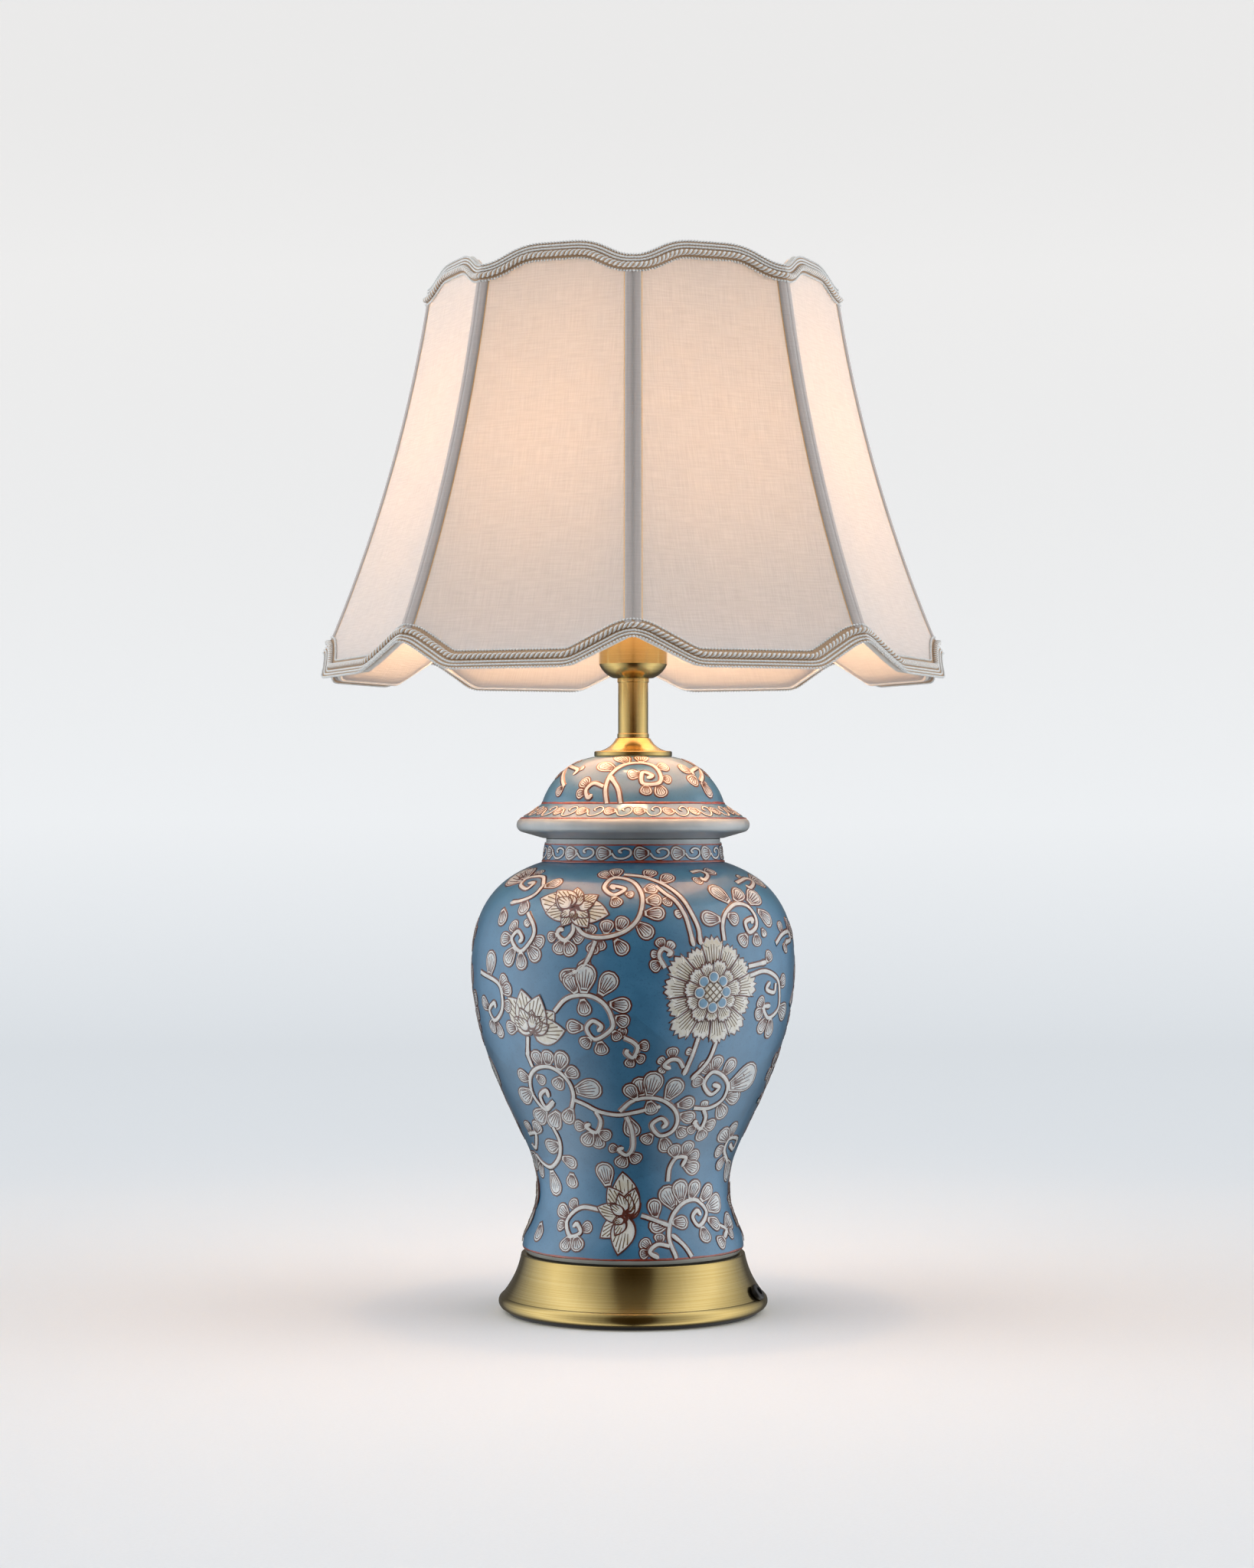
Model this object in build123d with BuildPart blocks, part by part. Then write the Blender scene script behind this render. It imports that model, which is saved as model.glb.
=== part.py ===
from build123d import *
import os
from math import cos, radians, sin, sqrt, tan

# Ceramic table lamp: a lidded jar on a flared metal base, with an eight-sided bell shade.
# Millimetres, +Z up, origin on the lamp's axis at the underside of its pad. The front is -Y.
# An azimuth is in degrees from the front towards +X.

# Foot pad and base
pad_thickness = 2.0
pad_step = 1.0                  # pad's edge inside the lip's foot
base_height = 37.0              # floor to deck
base_wall = 1.5
deck_radius = 70.6
deck_edge_fillet = 0.8
flank_middle_spread = 4.6       # beyond the deck's edge
flank_middle_height = 22.5
flank_spread = 12.0
flank_bottom_height = 11.0
lip_proud = 2.4                 # beyond the foot of the flank
lip_widest_height = 6.5
lip_foot_step = 5.0
flange_width = 9.0

# Cord gland in the side of the base
gland_azimuth = 72.0
gland_share = 0.13              # how far up the flank it sits, as a share of the flank
gland_flange_radius = 5.4
gland_flange_thickness = 2.6
gland_barrel_radius = 3.9
gland_seat_gap = 0.9            # flat flange and nut on the rounded wall
gland_nut_radius = 5.4
gland_nut_thickness = 3.0
gland_end_proud = 1.2
hole_clearance = 0.15

# Rod, nuts and washer on the axis
rod_radius = 5.0
rod_bore_radius = 3.4
rod_end_proud = 1.5
washer_radius = 16.0
washer_thickness = 1.5
nut_across_flats = 14.0
nut_thickness = 4.0
thread_clearance = 0.05

# Jar
gasket_thickness = 1.0
gasket_width = 10.5
gasket_step = 1.1               # gasket's edge inside the jar's foot
jar_foot_radius = 67.6
jar_foot_edge_radius = 69.8
jar_foot_edge_rise = 3.2        # each rise here is above the jar's last named height
jar_ankle_radius = 65.2
jar_ankle_rise = 14.8
jar_waist_radius = 60.3
jar_waist_rise = 17.0
jar_flank_radius = 74.1
jar_flank_rise = 47.6
jar_side_radius = 93.5
jar_side_rise = 46.5
jar_belly_radius = 102.0
jar_belly_rise = 48.9
jar_shoulder_radius = 95.6
jar_shoulder_rise = 37.0
jar_crest_radius = 80.9
jar_crest_rise = 18.7
jar_collar_radius = 57.4
jar_neck_rise = 11.9
jar_collar_top_radius = 55.8
jar_collar_rise = 12.4
jar_mouth_step = 0.8            # mouth ring inside the collar's top
jar_mouth_rise = 2.0
jar_wall = 7.0
jar_floor = 20.0
jar_recess_step = 2.0           # recess under the foot, inside the gasket's bore
jar_recess_depth = 6.0
jar_hole_clearance = 1.5

# Lid, with heights above its seat
lid_gasket_thickness = 0.6
lid_seat_radius = 57.0
lid_rim_under_radius = 70.2
lid_rim_under_height = 3.8
lid_rim_radius = 73.7
lid_rim_height = 8.1
lid_brim_radius = 71.7
lid_brim_height = 12.2
lid_band_radius = 64.6
lid_band_height = 16.5
lid_dome_radius = 57.7
lid_dome_height = 21.8
lid_crown_radius = 49.4
lid_crown_height = 37.3
lid_top_radius = 26.0
lid_height = 51.2
lid_wall = 6.0
lid_flange_clearance = 1.5
lid_flange_depth = 13.0
lid_flange_wall = 5.0

# Vase cap, neck tube and socket cup
cap_radius = 24.6
cap_rim_height = 3.7
cap_step = 2.8
cap_cone_middle_radius = 14.4
cap_cone_middle_height = 7.2
cap_neck_radius = 10.8
cap_height = 11.8
cap_wall = 1.2
neck_radius = 9.5
neck_wall = 1.2
neck_length = 38.2
neck_bead_height = 3.0
neck_bead_proud = 0.5
neck_bead_fillet = 0.45
cup_radius = 21.6
cup_foot_radius = 12.8
cup_bowl_radius = 18.9
cup_bowl_height = 4.3
cup_bowl_top = 8.6
cup_height = 38.0
cup_wall = 1.0

# Screw lampholder
dome_radius = 19.4
dome_foot_radius = 12.5
dome_foot_rise = 6.5
dome_wall = 1.6
dome_floor = 2.0
dome_height = 21.5
dome_ledge = 2.4
insert_height = 8.0
insert_clearance = 0.15
skirt_radius = 19.6
skirt_wall = 2.4
skirt_height = 30.0
skirt_lip = 1.6
skirt_lip_height = 2.0
shell_wall = 0.6
shell_height = 21.0
shell_clearance = 0.4
contact_length = 12.0
contact_width = 5.0
contact_thickness = 0.6
contact_rise = 2.4
contact_gap = 0.2
terminal_radius = 2.0
terminal_length = 5.0
terminal_spacing = 21.0

# Lead inside the lamp
lead_radius = 2.5
lead_run_height = 6.4
lead_bend = 22.0
lead_gland_bend = 16.0
lead_end_proud = 1.2
core_radius = 0.9
core_spacing = 2.6
core_bend = 1.6

# Clamping ring and shade fitter
fitter_gap = 0.1
fitter_clearance = 0.7
fitter_radius = 30.5
fitter_thickness = 2.0
ring_clearance = 0.08
ring_flange_radius = 25.0
ring_flange_thickness = 2.4
ring_radius = 23.4
ring_height = 7.0
arm_count = 4
arm_wire_radius = 1.6
arm_foot_radius = 28.4
arm_foot_rise = 7.0
arm_tail = 15.0
arm_bend = 6.0
arm_tail_bend = 9.0

# Bulb
bulb_radius = 30.0
bulb_centre_height = 78.0       # heights here are above the bulb's tip
bulb_neck_radius = 12.8
bulb_neck_height = 25.4
bulb_glass_foot_height = 17.0
bulb_glass_wall = 1.0
bulb_throat_radius = 15.6
bulb_throat_height = 43.0
bulb_meet_angle = 38.0          # below the globe's widest line, where the neck runs in
bulb_tip_radius = 4.6
bulb_tip_height = 1.6
bulb_insulator_radius = 10.6
bulb_insulator_height = 4.0
bulb_cap_radius = 13.0
bulb_cap_wall = 0.5
bulb_cap_height = 25.0

# Shade
panel_count = 8
shade_height = 259.0
shade_drop = 40.2               # lower edge below the fitter ring
bell_top_apothem = 117.4
bell_break_apothem = 174.0
bell_break_rise = 32.0
bell_radius = 1004.0
flare_radius = 106.0
cloth_thickness = 0.8
lining_depth = 7.0
lining_thickness = 0.6
lining_top_inset = 5.0
lining_bottom_inset = 1.0
lower_flat = 80.0               # straight stretch of each panel's lower edge
lower_peak_rise = 17.5
lower_peak_flat = 3.5
lower_flat_fillet = 15.0
lower_peak_fillet = 13.0
upper_flat = 44.0
upper_valley_drop = 12.0
upper_valley_flat = 3.0
upper_flat_fillet = 18.0
upper_valley_fillet = 8.0
braid_width = 10.4
braid_thickness = 2.2
tape_half_width = 5.3
tape_thickness = 0.7
wire_radius = 1.5
wire_clearance = 0.2
top_wire_clearance = 0.25
bottom_wire_clearance = 1.2
layer_gap = 0.1                 # between the cloth and the tapes and braids on it
cut_margin = 4.0                # layers start this much too tall, before they are cut to outline
ring_wire_inset = 2.6
ring_wire_flat_bend = 11.0
ring_wire_rib_bend = 5.0

# Radii of the base and of the jar's ends
flank_middle_radius = deck_radius + flank_middle_spread
flank_bottom_radius = deck_radius + flank_spread
lip_radius = flank_bottom_radius + lip_proud
lip_foot_radius = lip_radius - lip_foot_step
pad_radius = lip_foot_radius - pad_step
flange_inner_radius = pad_radius - flange_width
gasket_outer_radius = jar_foot_radius - gasket_step
gasket_inner_radius = gasket_outer_radius - gasket_width
jar_recess_radius = gasket_inner_radius - jar_recess_step
jar_mouth_radius = jar_collar_top_radius - jar_mouth_step

# Heights of the stack
deck_underside = base_height - base_wall
rod_bottom = deck_underside - washer_thickness - nut_thickness - rod_end_proud
jar_bottom = base_height + gasket_thickness
foot_edge = jar_bottom + jar_foot_edge_rise
ankle = foot_edge + jar_ankle_rise
waist = ankle + jar_waist_rise
lower_flank = waist + jar_flank_rise
jar_side = lower_flank + jar_side_rise
belly = jar_side + jar_belly_rise
shoulder = belly + jar_shoulder_rise
crest = shoulder + jar_crest_rise
collar_bottom = crest + jar_neck_rise
collar_top = collar_bottom + jar_collar_rise
jar_top = collar_top + jar_mouth_rise
lid_seat = jar_top + lid_gasket_thickness
lid_top = lid_seat + lid_height
neck_bottom = lid_top + cap_height
cup_bottom = neck_bottom + neck_length
cup_top = cup_bottom + cup_height
upper_nut_bottom = cup_bottom + cup_wall
dome_bottom = upper_nut_bottom + nut_thickness
dome_top = dome_bottom + dome_height
insert_bottom = dome_top - insert_height
rod_top = dome_bottom + dome_floor + rod_end_proud
lead_top = rod_top + lead_end_proud
fitter_bottom = cup_top + fitter_gap
fitter_top = fitter_bottom + fitter_thickness
bulb_tip_bottom = dome_top + contact_thickness + contact_rise + contact_gap
shade_bottom = fitter_bottom - shade_drop
shade_top = shade_bottom + shade_height
bell_break = shade_bottom + bell_break_rise
arm_tail_height = shade_top - ring_wire_inset

# Angles of the shade
half_angle = 180 / panel_count
rib_azimuths = [index * 360 / panel_count for index in range(panel_count)]
panel_azimuths = [azimuth + half_angle for azimuth in rib_azimuths]
arm_azimuths = [half_angle + index * 360 / arm_count for index in range(arm_count)]

up = Vector(0, 0, 1)


def outward(azimuth):
    """Horizontal direction away from the axis at an azimuth."""
    return Vector(sin(radians(azimuth)), -cos(radians(azimuth)), 0)


def radial_plane(azimuth):
    """Upright plane through the axis: local x runs outward and local y runs up."""
    return Plane((0, 0, 0), x_dir=outward(azimuth), z_dir=outward(azimuth).cross(up))


def facing_plane(azimuth):
    """Upright plane through the axis that faces an azimuth: local x runs across, y runs up."""
    return Plane((0, 0, 0), x_dir=up.cross(outward(azimuth)), z_dir=outward(azimuth))


def beside(edge, share, distance):
    """Point of a flat curve at a share of its length, moved to its left by a distance."""
    along = edge % share
    return edge @ share + Vector(-along.Y, along.X) * distance


def bell_centre():
    """Centre of the shade's long side arc, in radius and height."""
    high = Vector(bell_top_apothem, shade_top)
    low = Vector(bell_break_apothem, bell_break)
    chord = low - high
    half = chord.length / 2
    across = Vector(-chord.Y, chord.X).normalized()
    return (high + low) / 2 + across * sqrt(bell_radius ** 2 - half ** 2)


def apothem(height):
    """Distance from the axis to the middle of the shade's outer side at a height."""
    centre = bell_centre()
    if height >= bell_break:
        return centre.X - sqrt(bell_radius ** 2 - (height - centre.Y) ** 2)
    low = Vector(bell_break_apothem, bell_break)
    flare = low + (centre - low) * (flare_radius / bell_radius)
    return flare.X - sqrt(flare_radius ** 2 - (height - flare.Y) ** 2)


def side_point(height, inset):
    """Point of the shade's side profile, moved towards the axis by an inset."""
    return (apothem(height) - inset, height)


def corner_point(height, inset):
    """Point of the shade's corner profile, where two sides moved by an inset meet."""
    return ((apothem(height) - inset) / cos(radians(half_angle)), height)


lower_peak = shade_bottom + lower_peak_rise
upper_valley = shade_top - upper_valley_drop
lower_peak_reach = apothem(lower_peak) * tan(radians(half_angle)) - lower_peak_flat
upper_valley_reach = apothem(upper_valley) * tan(radians(half_angle)) - upper_valley_flat
lower_slope = lower_peak_rise / (lower_peak_reach - lower_flat / 2)
upper_slope = upper_valley_drop / (upper_valley_reach - upper_flat / 2)
panel_reach = apothem(shade_bottom)


def mitre(slope):
    """Sideways step of an edge's corners for each millimetre that the edge moves in."""
    return (sqrt(1 + slope ** 2) - 1) / slope


def lower_corners(inset):
    """Ends of the lower edge's flat and of its rise to the rib, moved in by an inset."""
    step = inset * mitre(lower_slope)
    flat_end = (lower_flat / 2 - step, shade_bottom + inset)
    peak_start = (lower_peak_reach - step, lower_peak + inset)
    return flat_end, peak_start


def upper_corners(inset):
    """Ends of the upper edge's flat and of its fall to the rib, moved in by an inset."""
    step = inset * mitre(upper_slope)
    flat_end = (upper_flat / 2 - step, shade_top - inset)
    valley_start = (upper_valley_reach - step, upper_valley - inset)
    return flat_end, valley_start


def edge_points(flat_end, rib_start):
    """Whole edge of a panel, run past both ribs."""
    (flat, flat_height), (rib, rib_height) = flat_end, rib_start
    right = [(flat, flat_height), (rib, rib_height), (panel_reach, rib_height)]
    left = [(-reach, height) for reach, height in reversed(right)]
    return left + right


def outline(azimuth, lower_inset, upper_inset):
    """Panel-shaped sketch that faces an azimuth, with its wavy edges moved in."""
    lower_radii = [lower_peak_fillet + lower_inset, max(lower_flat_fillet - lower_inset, wire_radius)]
    upper_radii = [upper_valley_fillet + upper_inset, max(upper_flat_fillet - upper_inset, wire_radius)]
    with BuildSketch(facing_plane(azimuth)) as shape:
        with BuildLine():
            lower = FilletPolyline(
                *edge_points(*lower_corners(lower_inset)),
                radius=lower_radii + lower_radii[::-1],
            )
            upper = FilletPolyline(
                *edge_points(*upper_corners(upper_inset)),
                radius=upper_radii + upper_radii[::-1],
            )
            Line(lower @ 0, upper @ 0)
            Line(lower @ 1, upper @ 1)
        make_face()
    return shape.sketch


def side_band(azimuth, inner_inset, outer_inset):
    """Section of a layer of the shade's side, between two insets, in an upright plane."""
    high = shade_top + cut_margin
    low = shade_bottom - cut_margin
    with BuildSketch(radial_plane(azimuth)) as band:
        with BuildLine():
            ends = []
            for inset in (inner_inset, outer_inset):
                heights = (high, (high + bell_break) / 2, bell_break)
                side = ThreePointArc(*[side_point(height, inset) for height in heights])
                heights = (bell_break, (low + bell_break) / 2, low)
                flare = ThreePointArc(*[side_point(height, inset) for height in heights])
                ends.append((side @ 0, flare @ 1))
            Line(ends[0][0], ends[1][0])
            Line(ends[0][1], ends[1][1])
        make_face()
    return band.sketch


def wedge(azimuth):
    """Plan of one side's share of the shade."""
    reach = 2 * panel_reach
    left = outward(azimuth - half_angle) * reach
    right = outward(azimuth + half_angle) * reach
    with BuildSketch(Plane.XY.offset(shade_bottom - cut_margin)) as plan:
        with BuildLine():
            Polyline((0, 0), (left.X, left.Y), (right.X, right.Y), close=True)
        make_face()
    return plan.sketch


def write(part, name):
    """Label a finished piece and write it to its own file."""
    part.label = name
    export_step(part, f"parts/{name}.step")


os.makedirs("parts", exist_ok=True)

# Foot pad: a disc that closes the base
with BuildPart() as foot_pad:
    Cylinder(pad_radius, pad_thickness, align=(Align.CENTER, Align.CENTER, Align.MIN))

# Base: a spun shell with a rolled lip, a hollow flank and a flat deck
flank = ThreePointArc(
    (flank_bottom_radius, flank_bottom_height),
    (flank_middle_radius, flank_middle_height),
    (deck_radius, base_height),
)
gland_point = flank @ gland_share
gland_slope = flank % gland_share
gland_normal = outward(gland_azimuth) * gland_slope.Y - up * gland_slope.X
gland_centre = outward(gland_azimuth) * gland_point.X + up * gland_point.Y

with BuildPart() as base_shell:
    with BuildSketch(Plane.XZ):
        with BuildLine():
            Line((0, pad_thickness), (lip_foot_radius, pad_thickness))
            ThreePointArc((lip_foot_radius, pad_thickness), (lip_radius, lip_widest_height), flank @ 0)
            add(flank)
            Polyline(flank @ 1, (0, base_height), (0, pad_thickness))
        make_face()
    revolve(axis=Axis.Z)
    fillet(base_shell.edges().filter_by(GeomType.CIRCLE).group_by(Axis.Z)[-1], deck_edge_fillet)
    with BuildSketch(Plane.XZ):
        with BuildLine():
            inner = ThreePointArc(*[beside(flank, share, base_wall) for share in (0, 0.5, 0.94)])
            lip_room = (inner @ 0).X
            Polyline(
                inner @ 0,
                (lip_room, pad_thickness + base_wall),
                (flange_inner_radius, pad_thickness + base_wall),
                (flange_inner_radius, pad_thickness),
                (0, pad_thickness),
                (0, deck_underside),
                ((inner @ 1).X, deck_underside),
                inner @ 1,
            )
        make_face()
    revolve(axis=Axis.Z, mode=Mode.SUBTRACT)
    with BuildSketch(Plane.XY.offset(deck_underside)):
        Circle(rod_radius + hole_clearance)
    extrude(amount=base_wall, mode=Mode.SUBTRACT)
    with BuildSketch(Plane(gland_centre, z_dir=gland_normal)):
        Circle(gland_barrel_radius + hole_clearance)
    extrude(amount=3 * base_wall, both=True, mode=Mode.SUBTRACT)

# Cord gland and the nut behind the wall
gland_inner_end = base_wall + gland_seat_gap + gland_nut_thickness + gland_end_proud

with BuildPart() as cord_gland:
    with BuildSketch(Plane(gland_centre + gland_normal * gland_seat_gap, z_dir=gland_normal)):
        Circle(gland_flange_radius)
    extrude(amount=gland_flange_thickness)
    fillet(cord_gland.edges().sort_by_distance(gland_centre)[-1], gland_flange_thickness / 2)
    with BuildSketch(Plane(gland_centre - gland_normal * gland_inner_end, z_dir=gland_normal)):
        Circle(gland_barrel_radius)
    extrude(amount=gland_inner_end + gland_seat_gap + gland_flange_thickness / 2)
    with BuildSketch(Plane(gland_centre, z_dir=gland_normal)):
        Circle(lead_radius + thread_clearance)
    extrude(amount=2 * gland_inner_end, both=True, mode=Mode.SUBTRACT)

with BuildPart() as gland_nut:
    with BuildSketch(
        Plane(gland_centre - gland_normal * (base_wall + gland_seat_gap), z_dir=-gland_normal)
    ):
        RegularPolygon(gland_nut_radius, 6)
        Circle(gland_barrel_radius + thread_clearance, mode=Mode.SUBTRACT)
    extrude(amount=gland_nut_thickness)

# Washer, nuts and hollow rod on the axis
with BuildPart() as rod_washer_lower:
    with BuildSketch(Plane.XY.offset(deck_underside - washer_thickness)):
        Circle(washer_radius)
        Circle(rod_radius + hole_clearance, mode=Mode.SUBTRACT)
    extrude(amount=washer_thickness)


def hexagon_nut(bottom):
    """Nut on the rod, with its lower face at a height."""
    with BuildPart() as nut:
        with BuildSketch(Plane.XY.offset(bottom)):
            RegularPolygon(nut_across_flats / 2, 6, major_radius=False)
            Circle(rod_radius + thread_clearance, mode=Mode.SUBTRACT)
        extrude(amount=nut_thickness)
    return nut.part


rod_nut_lower = hexagon_nut(deck_underside - washer_thickness - nut_thickness)
rod_nut_upper = hexagon_nut(upper_nut_bottom)

with BuildPart() as threaded_rod:
    with BuildSketch(Plane.XY.offset(rod_bottom)):
        Circle(rod_radius)
        Circle(rod_bore_radius, mode=Mode.SUBTRACT)
    extrude(amount=rod_top - rod_bottom)

# Jar: a baluster with a waist, a full belly and an upright collar
with BuildPart() as jar_gasket:
    with BuildSketch(Plane.XY.offset(base_height)):
        Circle(gasket_outer_radius)
        Circle(gasket_inner_radius, mode=Mode.SUBTRACT)
    extrude(amount=gasket_thickness)

foot_point = (jar_foot_edge_radius, foot_edge)
body_points = [
    (jar_ankle_radius, ankle),
    (jar_waist_radius, waist),
    (jar_flank_radius, lower_flank),
    (jar_side_radius, jar_side),
    (jar_belly_radius, belly),
    (jar_shoulder_radius, shoulder),
    (jar_crest_radius, crest),
    (jar_collar_radius, collar_bottom),
]
mouth_inner_radius = jar_mouth_radius - jar_wall

with BuildPart() as jar:
    with BuildSketch(Plane.XZ):
        with BuildLine():
            Polyline((0, jar_bottom), (jar_foot_radius, jar_bottom), foot_point)
            body = Spline(foot_point, *body_points, tangents=[(0, 1), (-1, 0.3)])
            Polyline(
                body @ 1,
                (jar_collar_top_radius, collar_top),
                (jar_mouth_radius, collar_top),
                (jar_mouth_radius, jar_top),
                (0, jar_top),
                (0, jar_bottom),
            )
        make_face()
    revolve(axis=Axis.Z)
    with BuildSketch(Plane.XZ):
        with BuildLine():
            room = [(radius - jar_wall, height) for radius, height in body_points[1:-1]]
            inside = Spline(*room, (mouth_inner_radius, collar_bottom), tangents=[(0, 1), (-1, 0.6)])
            Polyline(
                inside @ 1,
                (mouth_inner_radius, jar_top),
                (0, jar_top),
                (0, jar_bottom + jar_floor),
                (jar_waist_radius - jar_wall, jar_bottom + jar_floor),
                inside @ 0,
            )
        make_face()
    revolve(axis=Axis.Z, mode=Mode.SUBTRACT)
    with BuildSketch(Plane.XY.offset(jar_bottom)):
        Circle(jar_recess_radius)
    extrude(amount=jar_recess_depth, mode=Mode.SUBTRACT)
    with BuildSketch(Plane.XY.offset(jar_bottom)):
        Circle(rod_radius + jar_hole_clearance)
    extrude(amount=jar_floor, mode=Mode.SUBTRACT)

with BuildPart() as lid_gasket:
    with BuildSketch(Plane.XY.offset(jar_top)):
        Circle(jar_mouth_radius)
        Circle(mouth_inner_radius, mode=Mode.SUBTRACT)
    extrude(amount=lid_gasket_thickness)

# Lid: a rounded rim, a sloping brim, a dome and a flange that drops into the mouth
flange_radius = mouth_inner_radius - lid_flange_clearance
flange_bore = flange_radius - lid_flange_wall

with BuildPart() as lid:
    with BuildSketch(Plane.XZ):
        with BuildLine():
            Polyline(
                (0, lid_seat - lid_flange_depth),
                (flange_radius, lid_seat - lid_flange_depth),
                (flange_radius, lid_seat),
                (lid_seat_radius, lid_seat),
                (lid_rim_under_radius, lid_seat + lid_rim_under_height),
            )
            rim = ThreePointArc(
                (lid_rim_under_radius, lid_seat + lid_rim_under_height),
                (lid_rim_radius, lid_seat + lid_rim_height),
                (lid_brim_radius, lid_seat + lid_brim_height),
            )
            brim = ThreePointArc(
                rim @ 1,
                (lid_band_radius, lid_seat + lid_band_height),
                (lid_dome_radius, lid_seat + lid_dome_height),
            )
            dome = ThreePointArc(
                brim @ 1,
                (lid_crown_radius, lid_seat + lid_crown_height),
                (lid_top_radius, lid_top),
            )
            Polyline(dome @ 1, (0, lid_top), (0, lid_seat - lid_flange_depth))
        make_face()
    revolve(axis=Axis.Z)
    with BuildSketch(Plane.XZ):
        with BuildLine():
            ceiling = ThreePointArc(*[beside(dome, share, lid_wall) for share in (0, 0.5, 0.9)])
            Polyline(
                ceiling @ 1,
                (0, (ceiling @ 1).Y),
                (0, lid_seat - lid_flange_depth),
                (flange_bore, lid_seat - lid_flange_depth),
                (flange_bore, lid_seat),
                ceiling @ 0,
            )
        make_face()
    revolve(axis=Axis.Z, mode=Mode.SUBTRACT)
    with BuildSketch(Plane.XY.offset(lid_top)):
        Circle(rod_radius + jar_hole_clearance)
    extrude(amount=-3 * lid_wall, mode=Mode.SUBTRACT)

# Vase cap: a thin spun cone on a flat rim
with BuildPart() as vase_cap:
    with BuildSketch(Plane.XZ):
        with BuildLine():
            cone = ThreePointArc(
                (cap_radius - cap_step, lid_top + cap_rim_height),
                (cap_cone_middle_radius, lid_top + cap_cone_middle_height),
                (cap_neck_radius, neck_bottom),
            )
            Polyline(
                cone @ 0,
                (cap_radius, lid_top + cap_rim_height),
                (cap_radius, lid_top),
                (rod_radius + hole_clearance, lid_top),
                (rod_radius + hole_clearance, neck_bottom),
                cone @ 1,
            )
        make_face()
    revolve(axis=Axis.Z)
    fillet(vase_cap.edges().filter_by(GeomType.CIRCLE).sort_by(SortBy.RADIUS)[-2:], cap_rim_height / 4)
    with BuildSketch(Plane.XZ):
        with BuildLine():
            hollow = ThreePointArc(*[beside(cone, share, cap_wall) for share in (0, 0.5, 0.9)])
            Polyline(
                hollow @ 1,
                (rod_radius + hole_clearance, (hollow @ 1).Y),
                (rod_radius + hole_clearance, lid_top),
                ((hollow @ 0).X, lid_top),
                hollow @ 0,
            )
        make_face()
    revolve(axis=Axis.Z, mode=Mode.SUBTRACT)

# Neck tube: a plain tube with a bead at each end
with BuildPart() as neck_tube:
    with BuildSketch(Plane.XY.offset(neck_bottom)):
        Circle(neck_radius)
    extrude(amount=neck_length)
    for bead_bottom in (neck_bottom, neck_bottom + neck_length - neck_bead_height):
        with BuildSketch(Plane.XY.offset(bead_bottom)):
            Circle(neck_radius + neck_bead_proud)
        extrude(amount=neck_bead_height)
    rings = neck_tube.edges().filter_by(GeomType.CIRCLE)
    fillet(rings.filter_by(lambda ring: ring.radius > neck_radius), neck_bead_fillet)
    with BuildSketch(Plane.XY.offset(neck_bottom)):
        Circle(neck_radius - neck_wall)
    extrude(amount=neck_length, mode=Mode.SUBTRACT)

# Socket cup: an open brass cup with a rounded bottom
with BuildPart() as socket_cup:
    with BuildSketch(Plane.XZ):
        with BuildLine():
            bowl = ThreePointArc(
                (cup_foot_radius, cup_bottom),
                (cup_bowl_radius, cup_bottom + cup_bowl_height),
                (cup_radius, cup_bottom + cup_bowl_top),
            )
            Polyline(bowl @ 1, (cup_radius, cup_top), (0, cup_top), (0, cup_bottom), bowl @ 0)
        make_face()
    revolve(axis=Axis.Z)
    with BuildSketch(Plane.XZ):
        with BuildLine():
            bowl_room = ThreePointArc(
                (cup_foot_radius - cup_wall / 2, cup_bottom + cup_wall),
                (cup_bowl_radius - cup_wall, cup_bottom + cup_bowl_height + cup_wall / 2),
                (cup_radius - cup_wall, cup_bottom + cup_bowl_top),
            )
            Polyline(
                bowl_room @ 1,
                (cup_radius - cup_wall, cup_top),
                (0, cup_top),
                (0, cup_bottom + cup_wall),
                bowl_room @ 0,
            )
        make_face()
    revolve(axis=Axis.Z, mode=Mode.SUBTRACT)
    with BuildSketch(Plane.XY.offset(cup_bottom)):
        Circle(rod_radius + hole_clearance)
    extrude(amount=cup_wall, mode=Mode.SUBTRACT)

# Lampholder: a dome on the rod, a contact block in it and a threaded skirt above
insert_radius = dome_radius - dome_wall

with BuildPart() as holder_dome:
    with BuildSketch(Plane.XZ):
        with BuildLine():
            Polyline(
                (rod_radius + thread_clearance, dome_bottom),
                (dome_foot_radius, dome_bottom),
                (dome_radius, dome_bottom + dome_foot_rise),
                (dome_radius, dome_top),
                (insert_radius, dome_top),
                (insert_radius, insert_bottom),
                (insert_radius - dome_ledge, insert_bottom),
                (insert_radius - dome_ledge, dome_bottom + dome_foot_rise),
                (dome_foot_radius - dome_wall, dome_bottom + dome_floor),
                (rod_radius + thread_clearance, dome_bottom + dome_floor),
                close=True,
            )
        make_face()
    revolve(axis=Axis.Z)

with BuildPart() as holder_insert:
    with BuildSketch(Plane.XY.offset(insert_bottom)):
        Circle(insert_radius - insert_clearance)
    extrude(amount=insert_height)
    with BuildSketch(Plane.XY.offset(insert_bottom)):
        with GridLocations(terminal_spacing, 0, 2, 1):
            Circle(terminal_radius)
    extrude(amount=terminal_length, mode=Mode.SUBTRACT)

with BuildPart() as terminal_screws:
    with BuildSketch(Plane.XY.offset(insert_bottom + core_radius)):
        with GridLocations(terminal_spacing, 0, 2, 1):
            Circle(terminal_radius - insert_clearance)
    extrude(amount=terminal_length - core_radius)

shell_bore = bulb_cap_radius + shell_clearance

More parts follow.
